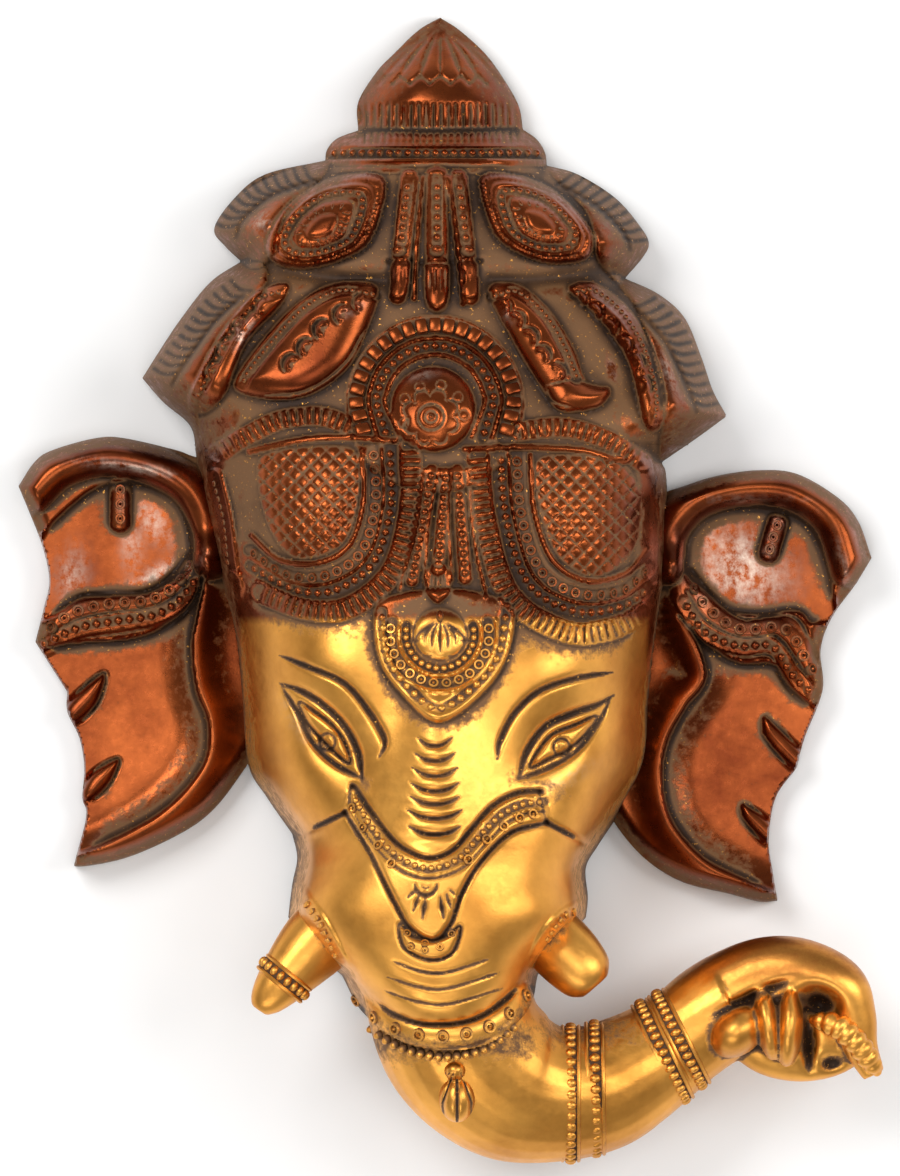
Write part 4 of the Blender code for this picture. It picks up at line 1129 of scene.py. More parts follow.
# Paths that the solid has too, in carving units
LOBES = (
    ((325, 158), (262, 172), (230, 196), (208, 228), (240, 264), (270, 262), (286, 214), (322, 178)),
    ((548, 164), (585, 172), (622, 196), (654, 243), (625, 282), (598, 262), (588, 216), (560, 184)),
    ((262, 264), (212, 276), (180, 316), (136, 378), (192, 440), (200, 398), (222, 344), (264, 292)),
    ((612, 276), (662, 288), (690, 318), (706, 358), (732, 418), (664, 466), (662, 392), (636, 310)),
)
FRONDS = (
    ((378, 288), (340, 282), (300, 302), (266, 336), (234, 384), (262, 400), (306, 398), (346, 372),
     (368, 332)),
    ((288, 284), (258, 292), (228, 326), (204, 366), (188, 402), (204, 414), (228, 392), (248, 344),
     (282, 306)),
    ((488, 290), (516, 284), (550, 312), (574, 350), (586, 380), (610, 390), (598, 408), (560, 412),
     (540, 388), (512, 342)),
    ((568, 290), (592, 282), (628, 308), (652, 350), (664, 398), (660, 428), (644, 426), (626, 362),
     (596, 318)),
)
TONGUES = (
    ((385, 180), (372, 240), (340, 262), (300, 270), (272, 262), (268, 240), (290, 205), (332, 178)),
    ((480, 178), (490, 228), (510, 250), (545, 264), (582, 262), (594, 246), (588, 226), (556, 192),
     (520, 176)),
)


@dataclass
class Crown:
    """Finial, collar, lobes, fronds, tongues, tassels and the middle boss."""

    tip: Place = (440, 20)
    fan_feet: tuple[float, ...] = (372, 385, 400, 420, 440, 461, 478, 495, 509)
    fan_row: float = 76
    lobe_borders: tuple[Path, ...] = (
        ((318, 180), (274, 196), (246, 218), (236, 238)), ((562, 186), (598, 208), (622, 232), (630, 250)),
        ((244, 296), (216, 322), (194, 352), (172, 386)), ((634, 308), (662, 340), (680, 374), (696, 412)),
    )
    boss: Place = (433, 410)
    boss_radius: float = 43
    arch: Place = (435, 405)
    arch_end: float = 438
    crescents: tuple = (
        (364, 304, 200), (345, 316, 200), (325, 331, 205), (309, 350, 210), (294, 366, 215),
        (265, 308, 200), (244, 328, 200), (228, 350, 205), (217, 373, 210),
        (500, 308, -30), (514, 322, -30), (527, 339, -35), (540, 357, -40), (556, 374, -40),
        (577, 301, -30), (592, 314, -30), (607, 330, -30), (621, 346, -25), (633, 364, -20), (641, 386, -15),
    )
    # Painted glints: pale highlights painted on the lobes and fronds
    painted_glints: tuple = (
        ((262, 222), (12, 9), 0.8, 40), ((245, 336), (9, 14), 0.8, -30), ((170, 372), (12, 6), 0.6, 45),
        ((505, 320), (8, 7), 0.7, 30), ((612, 372), (6, 16), 0.7, 15), ((668, 372), (5, 26), 0.8, 20),
        ((690, 392), (4, 18), 0.7, 20), ((420, 376), (16, 5), 0.5, 10), ((352, 312), (12, 4), 0.5, 30),
        ((612, 222), (9, 12), 0.6, -40),
    )

    def horseshoe(self, radius: float) -> Path:
        """Arch of a radius round the boss, with straight feet."""
        cx, cy = self.arch
        side = math.sqrt(max(radius ** 2 - (self.arch_end - cy) ** 2, 0))
        return ((cx - side, self.arch_end), *arc(self.arch, radius, 180, 360, 15), (cx + side, self.arch_end))

    def carve(self, sheet: HeightMap) -> None:
        """Carve the crown into the map.

        Args:
            sheet: the head's map.
        """
        self.carve_finial(sheet)
        for lobe in LOBES:
            sheet.plate(lobe, LEAF, 14, 0.25)
        for frond in FRONDS:
            sheet.plate(frond, LEAF * 1.5, 30, 0.9)
            sheet.darken_along((*frond, frond[0]), 3, 0.9)
        sheet.spine(((262, 268), (330, 279), (385, 282)), ((0, 9), (1, 9)), -0.0022)
        sheet.spine(((492, 282), (545, 281), (612, 272)), ((0, 9), (1, 9)), -0.0022)
        self.carve_tongues(sheet)
        self.carve_fronds(sheet)
        self.carve_middle(sheet)

    def carve_finial(self, sheet: HeightMap) -> None:
        """Cut the fan of petals, the ticks and the collar's bands."""
        for foot in self.fan_feet:
            start = (self.tip[0] + (foot - self.tip[0]) * 0.12, 30)
            sheet.groove((start, ((start[0] + foot) / 2 + (foot - 440) * 0.04, 52), (foot, self.fan_row)),
                         3.6, 0.0012)
        for left, right in zip(self.fan_feet, self.fan_feet[1:]):
            middle = ((left + right) / 2, self.fan_row + 8)
            sheet.groove(((left, self.fan_row), middle), 3.4, 0.0009, taper=False)
            sheet.groove((middle, (right, self.fan_row)), 3.4, 0.0009, taper=False)
        sheet.dirt_and_shade *= 1 - 0.8 * ease((sheet.row - 20) / 30) * ease((128 - sheet.row) / 8)
        sheet.comb(((352, 115), (440, 116), (530, 114)), 28, 7.4, 0.0012)
        sheet.groove(((352, 129), (440, 131), (530, 128)), 5, 0.0012, taper=False)
        sheet.comb(((330, 137), (440, 139), (545, 136)), 14, 7, 0.0009)
        sheet.darken_along(((352, 131), (440, 134), (530, 131)), 7, 0.8)
        sheet.ridge(((322, 146), (440, 147), (552, 146)), 5, 0.0009, clean=0.6)
        sheet.channel(((320, 153), (440, 154), (552, 153)), 9, 0.0006)
        sheet.ridge(((318, 160), (440, 161), (556, 161)), 5, 0.0010, clean=0.6)
        sheet.groove(((322, 166), (440, 168), (552, 167)), 2.4, 0.0006, taper=False)
        sheet.groove(((340, 174), (440, 176), (530, 175)), 2.4, 0.0005, taper=False)

    def carve_tongues(self, sheet: HeightMap) -> None:
        """Carve the two nested tongues under the collar."""
        for tongue in TONGUES:
            sheet.plate(tongue, LEAF, 9, 0.35)
            sheet.comb(inset(tongue, 0.93), 13, 4.6, 0.0007, closed=True)
            sheet.groove(inset(tongue, 0.83), 2.6, 0.0006, closed=True)
            sheet.ridge(inset(tongue, 0.76), 4.5, 0.0007, closed=True, clean=0.7)
            sheet.channel(inset(tongue, 0.64), 8, 0.0005, closed=True)
            sheet.plate(inset(tongue, 0.50), BAND, 7, 0.6)
            sheet.comb(inset(tongue, 0.40), 9, 5, 0.0004, closed=True)
            sheet.plate(inset(tongue, 0.26), BAND * 0.8, 8, 1.0)

    def carve_fronds(self, sheet: HeightMap) -> None:
        """Cut the borders of the fronds and the lines on the outer lobes."""
        for border in self.borders():
            sheet.channel(border, 10, 0.0010, dirt_and_shade=0.9)
        for path in self.fold_lines():
            sheet.groove(path, 4, 0.0009)
        for x, y, turn in self.crescents:
            sheet.groove(arc((x, y), 11, turn - 75, turn + 75, 7), 5.5, 0.0019)
            sheet.ridge(arc((x, y), 6.5, turn - 65, turn + 65, 6), 5.5, 0.0010, clean=1.0)

    def carve_lobes(self, sheet: HeightMap) -> None:
        """Cut the lobes' borders, once their edges are rounded.

        Args:
            sheet: the head's map.
        """
        for path in self.lobe_lines():
            sheet.groove(path, 6, 0.0018)
        for path in self.lobe_borders:
            sheet.groove(path, 5, 0.0016)
        for path in (((640, 330), (656, 366), (664, 420)), ((664, 322), (682, 360), (700, 412)),
                     ((214, 398), (196, 420), (190, 440)), ((226, 250), (236, 262), (240, 276)),
                     ((646, 246), (640, 262), (630, 276))):
            sheet.darken_along(path, 6, 0.9)
        # Painted glints, with the dirt taken off beneath them
        for centre, reach, amount, turn in self.painted_glints:
            sheet.paint_glint(centre, reach, amount, turn)
            sheet.dirt_and_shade *= 1 - 0.8 * bell(sheet.column, sheet.row, centre, reach, turn)

    def line_lobes(self, sheet: HeightMap) -> None:
        """Settle the darkest dirt in the lobes' cuts.

        Args:
            sheet: the head's weathered map.
        """
        for path in self.lobe_lines():
            sheet.darken_along(path, 4.5, 1.0)
        for path in self.lobe_borders:
            sheet.darken_along(path, 6, 0.92)

    def borders(self) -> tuple[Path, ...]:
        """Beaded borders along the outer edge of each frond."""
        return (
            ((376, 296), (340, 292), (306, 309), (278, 338), (252, 370), (244, 384)),
            ((282, 292), (258, 302), (232, 334), (212, 370), (198, 398)),
            ((492, 298), (516, 293), (544, 316), (564, 350), (576, 380)),
            ((574, 296), (592, 291), (622, 314), (644, 352), (655, 396), (654, 420)),
        )

    def fold_lines(self) -> tuple[Path, ...]:
        """Lines that part the frond's rolled body from its flat tip."""
        return (
            ((262, 397), (306, 392), (344, 366), (366, 330)),
            ((545, 386), (575, 381), (606, 388)),
            ((545, 386), (552, 402), (575, 409)),
        )

    def lobe_lines(self) -> tuple[Path, ...]:
        """Short cuts along the outer edge of the four lobes."""
        cuts = []
        for edge, lean in ((((312, 168), (262, 184), (232, 208), (218, 228)), -1),
                           (((566, 172), (606, 196), (634, 224), (644, 244)), 1),
                           (((240, 280), (208, 306), (182, 340), (156, 374)), -1),
                           (((646, 296), (678, 328), (696, 366), (716, 408)), 1)):
            for x, y, heading in spaced(edge, 11):
                column, row = units(x, y)
                turn = -math.degrees(heading) + lean * 115
                reach = (math.cos(math.radians(turn)), math.sin(math.radians(turn)))
                cuts.append(((column - 5 * reach[0], row - 5 * reach[1]),
                             (column + 7 * reach[0] - 2, row + 7 * reach[1] + 3),
                             (column + 18 * reach[0], row + 18 * reach[1])))
        return tuple(cuts)

    def carve_middle(self, sheet: HeightMap) -> None:
        """Carve the hanging tassels, the boss and the horseshoe round it."""
        for top, bottom, width in (((410, 180), (398, 296), 20), ((437, 178), (437, 302), 24),
                                   ((458, 180), (470, 297), 20)):
            sheet.ridge((top, bottom), width, BAND * 1.4, clean=0.5)
            sheet.channel((top, ((top[0] + bottom[0] * 2) / 3, 244)), 10, 0.0007)
        for path in (((423, 178), (417, 240), (414, 300)), ((448, 178), (456, 240), (463, 305))):
            sheet.ridge(path, 6, 0.0016, clean=0.4)
        sheet.plate(((425, 262), (449, 262), (450, 296), (437, 312), (424, 296)), 0.0012, 4, 0.8)
        for column in (430, 435, 440, 445):
            sheet.groove(((column, 266), (column, 296)), 3.0, 0.0008)
        for column in (394, 399, 404, 464, 469, 474):
            sheet.groove(((column, 268), (column, 290)), 2.6, 0.0007)
        for left, right, row in ((388, 412, 262), (420, 454, 264), (458, 482, 262)):
            sheet.groove(((left, row), (right, row)), 4, 0.0011, taper=False)
        for left, right, lean in ((390, 408, -3), (461, 479, 3)):
            sheet.plate(((left - lean, 262), (right - lean, 262), (right, 294), ((left + right) / 2, 300),
                         (left, 294)), 0.0012, 4, 0.8)
        sheet.plate(arc(self.arch, 89, 0, 360, 24)[:-1], BAND * 0.7, 5, 0.2)
        sheet.channel(self.horseshoe(78), 17, 0.0010)
        sheet.ridge(self.horseshoe(66), 5, 0.0010, clean=0.7)
        sheet.channel(self.horseshoe(58), 10, 0.0008)
        sheet.ridge(self.horseshoe(49), 5, 0.0011, clean=0.7)
        t = sheet.dome(self.boss, self.boss_radius, LEAF * 1.3)
        sheet.dirt_and_shade *= 1 - 0.85 * ease((1.02 - t) / 0.12)
        centre = (431, 418)
        sheet.groove(arc(centre, 6, 0, 360, 13)[:-1], 2.2, 0.0005, closed=True)
        sheet.groove(arc(centre, 13, 0, 360, 17)[:-1], 2.6, 0.0007, closed=True)
        for number in range(8):
            turn = math.radians(45 * number + 20)
            petal = (centre[0] + 21 * math.cos(turn), centre[1] + 21 * math.sin(turn))
            if petal[1] < 446:
                sheet.groove(arc(petal, 7.5, 45 * number - 90, 45 * number + 130, 9), 2.6, 0.0008)
        for x, y in ((405, 400), (420, 388), (441, 386), (458, 398), (464, 416), (404, 424)):
            sheet.groove(arc((x, y), 5, 0, 360, 11)[:-1], 2.0, 0.0005, closed=True)

    def stud(self, sheet: HeightMap) -> bpy.types.Object:
        """Set the crown's beads, blocks and scales.

        Args:
            sheet: the finished map.

        Returns:
            The piece that they make.
        """
        field = StudField("crown_beads", sheet)
        field.row(Stud.DIAMOND, ((330, 153), (440, 154), (541, 153)), 9, (10, 10, 0.0013))
        for tongue in TONGUES:
            field.row(Stud.BEAD, inset(tongue, 0.64), 7.6, (7.4, 7.4, 0.0012), closed=True)
            field.row(Stud.SCALE, inset(tongue, 0.40), 9, (9, 6, 0.0007), 90, closed=True)
        for border in self.borders():
            field.row(Stud.BEAD, border, 6.6, (6.0, 6.0, 0.0011))
        for path in (((408, 184), (401, 244)), ((437, 184), (437, 244)), ((459, 184), (466, 244))):
            field.row(Stud.BEAD, path, 9.5, (10, 9, 0.0014))
        for x in (399, 437, 468):
            field.spot(Stud.BEAD, (x, 252), (16, 13, 0.0026))
        field.row(Stud.BLOCK, self.horseshoe(78), 13.6, (11.5, 15, 0.0026))
        field.row(Stud.DIAMOND, self.horseshoe(58), 9.4, (11, 11, 0.0015))
        field.spot(Stud.BEAD, (431, 418), (6, 6, 0.0008))
        return field.build()


@dataclass
class Diadem:
    """Ribbed brow bands, two netted domes with their hanging bands, and the side strips."""

    net_pitch: float = 11
    nets: tuple[Path, ...] = (
        ((262, 458), (300, 448), (357, 452), (359, 500), (346, 541), (316, 558), (290, 556), (270, 528),
         (260, 490)),
        ((536, 462), (580, 455), (624, 464), (640, 502), (634, 548), (610, 572), (586, 576), (556, 555),
         (538, 510)),
    )
    bands: tuple = (
        (((362, 452), (364, 500), (350, 545), (318, 563), (280, 560), (252, 536)),
         ((374, 450), (376, 503), (362, 552), (328, 575), (288, 575), (250, 550)),
         ((390, 450), (391, 506), (374, 562), (336, 590), (298, 590), (252, 566)),
         ((410, 450), (410, 508), (392, 572), (350, 607), (310, 609), (262, 592))),
        (((530, 456), (534, 512), (552, 560), (586, 581), (624, 574), (648, 550)),
         ((516, 456), (521, 516), (541, 572), (580, 594), (622, 590), (648, 568)),
         ((500, 456), (506, 520), (528, 584), (573, 611), (618, 607), (646, 590)),
         ((478, 458), (486, 524), (510, 596), (564, 631), (606, 630), (640, 614))),
    )
    brow_bands: tuple = (
        ((352, 427), (320, 417), (280, 421), (245, 438), (218, 454)),
        ((520, 432), (560, 428), (600, 438), (642, 462)),
    )
    brow_ridges: tuple = (
        ((395, 441), (340, 438), (300, 441), (250, 452)),
        ((465, 450), (520, 448), (580, 451), (625, 462)),
    )
    tassels: tuple = (
        ((432, 472), (412, 580), 15), ((446, 474), (438, 570), 14), ((457, 472), (465, 578), 15),
    )

    def carve(self, sheet: HeightMap) -> None:
        """Carve the diadem into the map.

        Args:
            sheet: the head's map.
        """
        for net, centre in zip(self.nets, ((308, 506), (586, 520))):
            sheet.swell(centre, (52, 56), LEAF * 1.1)
            sheet.plate(net, 0.0012, 14, 0.9)
            sheet.net(net, self.net_pitch, 0.0010)
            sheet.darken_along((net[-1], net[-2], net[-3]), 12, 0.62)
        for inner, dots, beads, ribs in self.bands:
            sheet.ridge(ribs, 24, BAND * 1.1, clean=0.3)
            sheet.comb(ribs, 22, 7.6, 0.0014)
            sheet.channel(beads, 13, 0.0006)
            sheet.channel(dots, 12, 0.0006, dirt_and_shade=0.6)
            sheet.ridge(inner, 6, 0.0014, clean=0.6)
            sheet.ridge(between(dots, beads), 4.5, 0.0010, clean=0.5)
            sheet.ridge(between(beads, ribs, 0.42, 0.58), 4.5, 0.0010, clean=0.5)
        for band in self.brow_bands:
            sheet.ridge(band, 20, BAND, clean=0.4)
            sheet.comb(band, 18, 8, 0.0014)
        for ridge in self.brow_ridges:
            sheet.ridge(ridge, 7, 0.0014, clean=0.5)
        for top, bottom, width in self.tassels:
            sheet.ridge((top, bottom), width, BAND, clean=0.6)
        for path in (((440, 470), (430, 520), (424, 578)), ((451, 470), (449, 530), (452, 580)),
                     ((424, 470), (412, 540), (400, 590)), ((466, 470), (474, 540), (486, 596))):
            sheet.ridge(path, 5, 0.0012, clean=0.4)
        sheet.plate(((428, 566), (448, 566), (452, 588), (438, 604), (424, 588)), 0.0022, 8, 1.0)
        for column in (430, 435, 441, 446):
            sheet.groove(((438 + (column - 438) * 0.6, 570), (column, 592)), 2.6, 0.0007)
        self.carve_strips(sheet)

    def carve_strips(self, sheet: HeightMap) -> None:
        """Carve the beaded strips and plain columns beside the temples."""
        for strip in (((214, 478), (224, 520), (230, 572)), ((665, 500), (664, 580))):
            sheet.ridge(strip, 20, BAND * 1.3, clean=0.2)
            sheet.channel(strip, 9, 0.0006)
        for column in (((229, 602), (230, 680), (236, 756)), ((661, 612), (652, 700), (644, 780))):
            sheet.ridge(column, 22, BAND * 1.4)
        for block in (((219, 574), (241, 574), (241, 602), (220, 602)),
                      ((653, 584), (673, 582), (673, 610), (655, 610))):
            sheet.plate(block, 0.0016, 4, 0.8)
        for row in (582, 590):
            sheet.groove(((219, row), (242, row)), 2.4, 0.0005, taper=False)
            sheet.groove(((654, row + 6), (674, row + 6)), 2.4, 0.0005, taper=False)

    def stud(self, sheet: HeightMap) -> bpy.types.Object:
        """Set the rings, beads and diamonds of the diadem.

        Args:
            sheet: the finished map.

        Returns:
            The piece that they make.
        """
        field = StudField("diadem_beads", sheet)
        for _, dots, beads, _ in self.bands:
            field.row(Stud.RING, dots, 13, (11.5, 11.5, 0.0011))
            field.row(Stud.DIAMOND, beads, 9.6, (11, 11, 0.0015))
        for top, bottom, _ in self.tassels:
            field.row(Stud.BEAD, (top, bottom), 9.5, (9.5, 10, 0.0018))
        for strip in (((214, 480), (224, 520), (229, 566)), ((665, 504), (664, 576))):
            field.row(Stud.BEAD, strip, 8, (7, 7, 0.0010))
        return field.build()


@dataclass
class Pendant:
    """Shield of beads on the forehead, with a lotus in its middle."""

    outline: Path = (
        (376, 606), (378, 656), (400, 692), (438, 722), (482, 694), (508, 654), (512, 606), (470, 590),
        (438, 588), (404, 592),
    )
    border: Path = ((382, 612), (388, 656), (408, 686), (438, 708), (474, 686), (498, 654), (506, 612))
    flower: Place = (440, 634)

    def ring(self, radius: float, low: float = -14, high: float = 194) -> Path:
        """Hanging arc of a radius round the flower."""
        return arc(self.flower, radius, low, high, 17)

    def carve(self, sheet: HeightMap) -> None:
        """Carve the pendant into the map.

        Args:
            sheet: the head's map.
        """
        sheet.plate(self.outline, BAND * 1.4, 8)
        sheet.channel(self.ring(34), 9, 0.0008)
        sheet.ridge(self.ring(41), 4, 0.0008, clean=0.9)
        sheet.channel(self.ring(49), 10, 0.0007, dirt_and_shade=0.7)
        sheet.ridge(self.ring(57), 4, 0.0008, clean=0.9)
        sheet.channel(self.border, 10, 0.0007)
        sheet.dome(self.flower, 26, BAND * 1.2)
        for foot in (-24, -16, -8, 0, 8, 16, 24):
            start = (self.flower[0] + foot * 0.25, 622)
            sheet.groove((start, (self.flower[0] + foot * 0.9, 634),
                          (self.flower[0] + foot, 652 - abs(foot) * 0.5)), 4, 0.0011)
        for x, y in ((416, 640), (428, 655), (440, 660), (452, 655), (464, 640)):
            sheet.groove(arc((x, y - 6), 7, 20, 160, 7), 2.4, 0.0005)
        sheet.darken_along(self.ring(26), 3, 0.9)

    def stud(self, sheet: HeightMap) -> bpy.types.Object:
        """Set the pendant's beads, rings and diamonds.

        Args:
            sheet: the finished map.

        Returns:
            The piece that they make.
        """
        field = StudField("pendant_beads", sheet)
        field.row(Stud.BEAD, self.ring(34), 7.8, (7.6, 7.6, 0.0014))
        field.row(Stud.RING, self.ring(49), 13, (11, 11, 0.0011))
        field.row(Stud.DIAMOND, self.border, 10.5, (10.5, 10, 0.0012))
        field.spot(Stud.BEAD, (440, 616), (8, 14, 0.0018))
        return field.build()


@dataclass
class Face:
    """Temples, eyes, brows, ringed ridge, harness, muzzle borders and garland."""

    ring_rows: tuple[float, ...] = (745, 760, 775, 790, 803, 817, 833)
    ring_halves: tuple[float, ...] = (18, 21, 23, 25, 26, 28, 27)
    brows: tuple = (
        ((280, 655), (310, 667), (345, 683), (370, 712), (385, 740), (380, 756)),
        ((612, 672), (575, 678), (540, 690), (515, 712), (500, 740), (497, 758)),
    )
    upper_lids: tuple = (
        ((280, 683), (300, 690), (322, 703), (344, 724), (358, 750), (363, 778)),
        ((613, 695), (596, 705), (572, 713), (545, 726), (527, 750), (518, 778)),
    )
    lower_lids: tuple = (
        ((282, 686), (298, 712), (312, 740), (334, 762), (363, 778)),
        ((610, 698), (598, 722), (578, 748), (550, 766), (518, 778)),
    )
    inner_lids: tuple = (
        ((300, 702), (316, 712), (334, 726), (346, 744), (350, 762), (336, 752), (322, 738), (308, 722)),
        ((596, 716), (576, 724), (552, 734), (538, 750), (530, 766), (548, 758), (568, 748), (584, 734)),
    )
    irises: tuple[Place, ...] = ((328, 741), (561, 746))
    harness_top: Path = (
        (354, 786), (372, 812), (392, 838), (412, 852), (432, 857), (453, 849), (472, 828), (492, 806),
        (516, 793), (540, 791),
    )
    harness_beads: Path = (
        (354, 796), (370, 822), (390, 848), (412, 862), (434, 866), (458, 857), (480, 834), (500, 814),
        (522, 803), (542, 801),
    )
    harness_line: Path = (
        (350, 802), (366, 832), (386, 856), (408, 872), (434, 876), (462, 866), (486, 842), (506, 822),
        (526, 812), (543, 810),
    )
    harness_low: Path = (
        (346, 811), (370, 850), (395, 900), (410, 925), (433, 938), (450, 922), (462, 890), (480, 860),
        (510, 831), (545, 821),
    )
    pouch: Path = ((400, 922), (405, 945), (430, 957), (452, 950), (460, 925), (447, 934), (430, 938),
                   (412, 934))
    garland: Path = ((350, 990), (366, 1009), (398, 1027), (440, 1034), (482, 1027), (514, 1007), (532, 984))
    garland_beads: Path = ((368, 1025), (380, 1034), (410, 1049), (448, 1055), (486, 1045), (516, 1022))

    def carve(self, sheet: HeightMap) -> None:
        """Carve the face into the map.

        Args:
            sheet: the head's map.
        """
        for centre in ((316, 660), (566, 668)):
            sheet.swell(centre, (60, 46), LEAF * 0.9)
        for centre in ((300, 760), (590, 768)):
            sheet.swell(centre, (40, 60), LEAF * 0.7)
        for centre, turn in (((330, 738), -52), ((556, 742), 42)):
            sheet.swell(centre, (56, 24), -LEAF * 0.8, turn)
        sheet.spine(((437, 716), (436, 770), (434, 846)), ((0, 28), (0.5, 40), (1, 62)), LEAF * 1.2)
        for row, half in zip(self.ring_rows, self.ring_halves):
            sheet.groove(((MIDDLE - half, row - 9), (MIDDLE - half * 0.5, row - 2), (MIDDLE, row),
                          (MIDDLE + half * 0.5, row - 2), (MIDDLE + half, row - 9)), 4.2, 0.0011)
            sheet.swell((MIDDLE, row + 7), (half, 4), 0.0004)
        self.carve_eyes(sheet)
        self.carve_harness(sheet)

    def carve_eyes(self, sheet: HeightMap) -> None:
        """Cut the brows, lids and irises."""
        for brow in self.brows:
            sheet.groove(brow, 6.5, 0.0017)
        for inner in self.inner_lids:
            sheet.plate(inner, 0.0016, 8)
            sheet.groove(inner, 4.2, 0.0011, closed=True)
        for lids, width, depth in ((self.upper_lids, 7.5, 0.0020), (self.lower_lids, 5.5, 0.0013)):
            for lid in lids:
                sheet.groove(lid, width, depth)
        for iris in self.irises:
            sheet.groove(arc(iris, 8, 0, 360, 13)[:-1], 3.4, 0.0010, closed=True)
            sheet.groove(arc(iris, 2.5, 0, 300, 9), 3.0, 0.0009)
        # Painted highlights on the lids
        sheet.paint_glint((298, 722), (26, 7), 0.45, -55)
        sheet.paint_glint((566, 778), (28, 7), 0.35, 28)
        sheet.darken_along(((352, 762), (362, 782)), 9, 0.7)
        sheet.darken_along(((520, 776), (540, 784), (560, 790)), 11, 0.55)

    def carve_harness(self, sheet: HeightMap) -> None:
        """Carve the beaded harness over the muzzle, its bib and its pouch."""
        shield = (*self.harness_top, *tuple(reversed(self.harness_low)))
        sheet.plate(shield, BAND * 0.7, 5)
        sheet.groove(self.harness_top, 6, 0.0014, taper=False)
        sheet.channel(self.harness_beads, 10, 0.0006, dirt_and_shade=0.75)
        sheet.groove(self.harness_line, 3, 0.0008, taper=False)
        sheet.groove(self.harness_low, 5, 0.0012, taper=False)
        for start, end in (((352, 784), (347, 812)), ((538, 790), (546, 822))):
            sheet.groove((start, end), 3.5, 0.0008, taper=False)
        for turn in (18, 42, 66, 114, 138, 162):
            angle = math.radians(turn)
            sheet.groove(((433 + 18 * math.cos(angle), 884 + 12 * math.sin(angle)),
                          (433 + 36 * math.cos(angle) * 0.72, 884 + 36 * math.sin(angle))), 6, 0.0015)
        sheet.groove(arc((426, 882), 11, 0, 180, 9), 5, 0.0012)
        sheet.groove(arc((426, 882), 4.5, 0, 180, 7), 3.4, 0.0009)
        sheet.plate(self.pouch, BAND * 0.6, 4)
        sheet.groove(self.pouch, 4, 0.0009, closed=True)
        for fold in (((345, 812), (320, 824), (295, 837)), ((545, 821), (566, 832), (592, 847))):
            sheet.groove(fold, 6, 0.0016, taper=False)
        sheet.darken_along(((566, 832), (590, 846)), 12, 0.5)

    def carve_muzzle(self, sheet: HeightMap) -> None:
        """Carve the wrinkles, the toothed tusk borders and the garland."""
        for wrinkle in (((392, 958), (418, 968), (446, 970), (490, 956)),
                        ((386, 974), (418, 984), (446, 986), (500, 970)),
                        ((382, 988), (418, 999), (450, 1001), (506, 985)), ((300, 884), (308, 892))):
            sheet.groove(wrinkle, 3, 0.0006)
        for border in (((295, 884), (320, 920), (340, 958), (350, 988)),
                       ((588, 902), (562, 916), (542, 942), (532, 974))):
            sheet.ridge(border, 16, BAND, clean=0.3)
            sheet.comb(border, 9, 6, 0.0010)
            sheet.darken_along(border, 7, 0.6)
        samples = limb_samples(TRUNK_PATH[:5], TRUNK_RADIUS, TRUNK_LIFT, 0.0008)
        outline = line_of(HEAD_OUTLINE[8])
        near = sheet.trace(outline, 0.004)
        on_head = inside(sheet.x, sheet.y, outline_of(HEAD_OUTLINE)) & (sheet.row > 950)
        sheet.limb(samples, COLLAR, on_head)
        sheet.limb(samples, 0.0, sheet.row > 950)
        sheet.darken(near.window, 0.8 * np.exp(-(near.distance / 0.0012) ** 2))
        sheet.ridge(self.garland, 22, BAND, clean=0.5)
        sheet.groove(((352, 976), (378, 1001), (410, 1018), (440, 1022), (476, 1016), (506, 996), (528, 972)),
                     4, 0.0010, taper=False)
        sheet.darken_along(self.garland_beads, 8, 0.75)
        sheet.ridge(self.garland_beads, 12, 0.0012)

    def stud(self, sheet: HeightMap) -> bpy.types.Object:
        """Set the beads and rings of the harness and garland.

        Args:
            sheet: the finished map.

        Returns:
            The piece that they make.
        """
        field = StudField("harness_beads", sheet)
        field.row(Stud.BEAD, self.harness_beads, 8, (7.4, 7.4, 0.0013))
        for place in ((353, 807), (364, 826), (379, 844), (392, 862), (468, 858), (486, 838), (503, 825),
                      (519, 817), (532, 813)):
            field.spot(Stud.RING, place, (11.5, 11.5, 0.0014))
        for place in ((407, 931), (411, 944), (425, 948), (425, 941), (440, 944), (452, 932)):
            field.spot(Stud.RING, place, (9, 9, 0.0010))
        field.row(Stud.RING, self.garland, 25, (14, 14, 0.0018))
        field.row(Stud.BEAD, self.garland_beads, 9, (9, 10, 0.0020))
        for border in (((306, 900), (320, 920), (338, 956)), ((576, 909), (562, 916), (544, 940))):
            field.row(Stud.BLOCK, border, 8, (5, 9, 0.0012))
        return field.build()


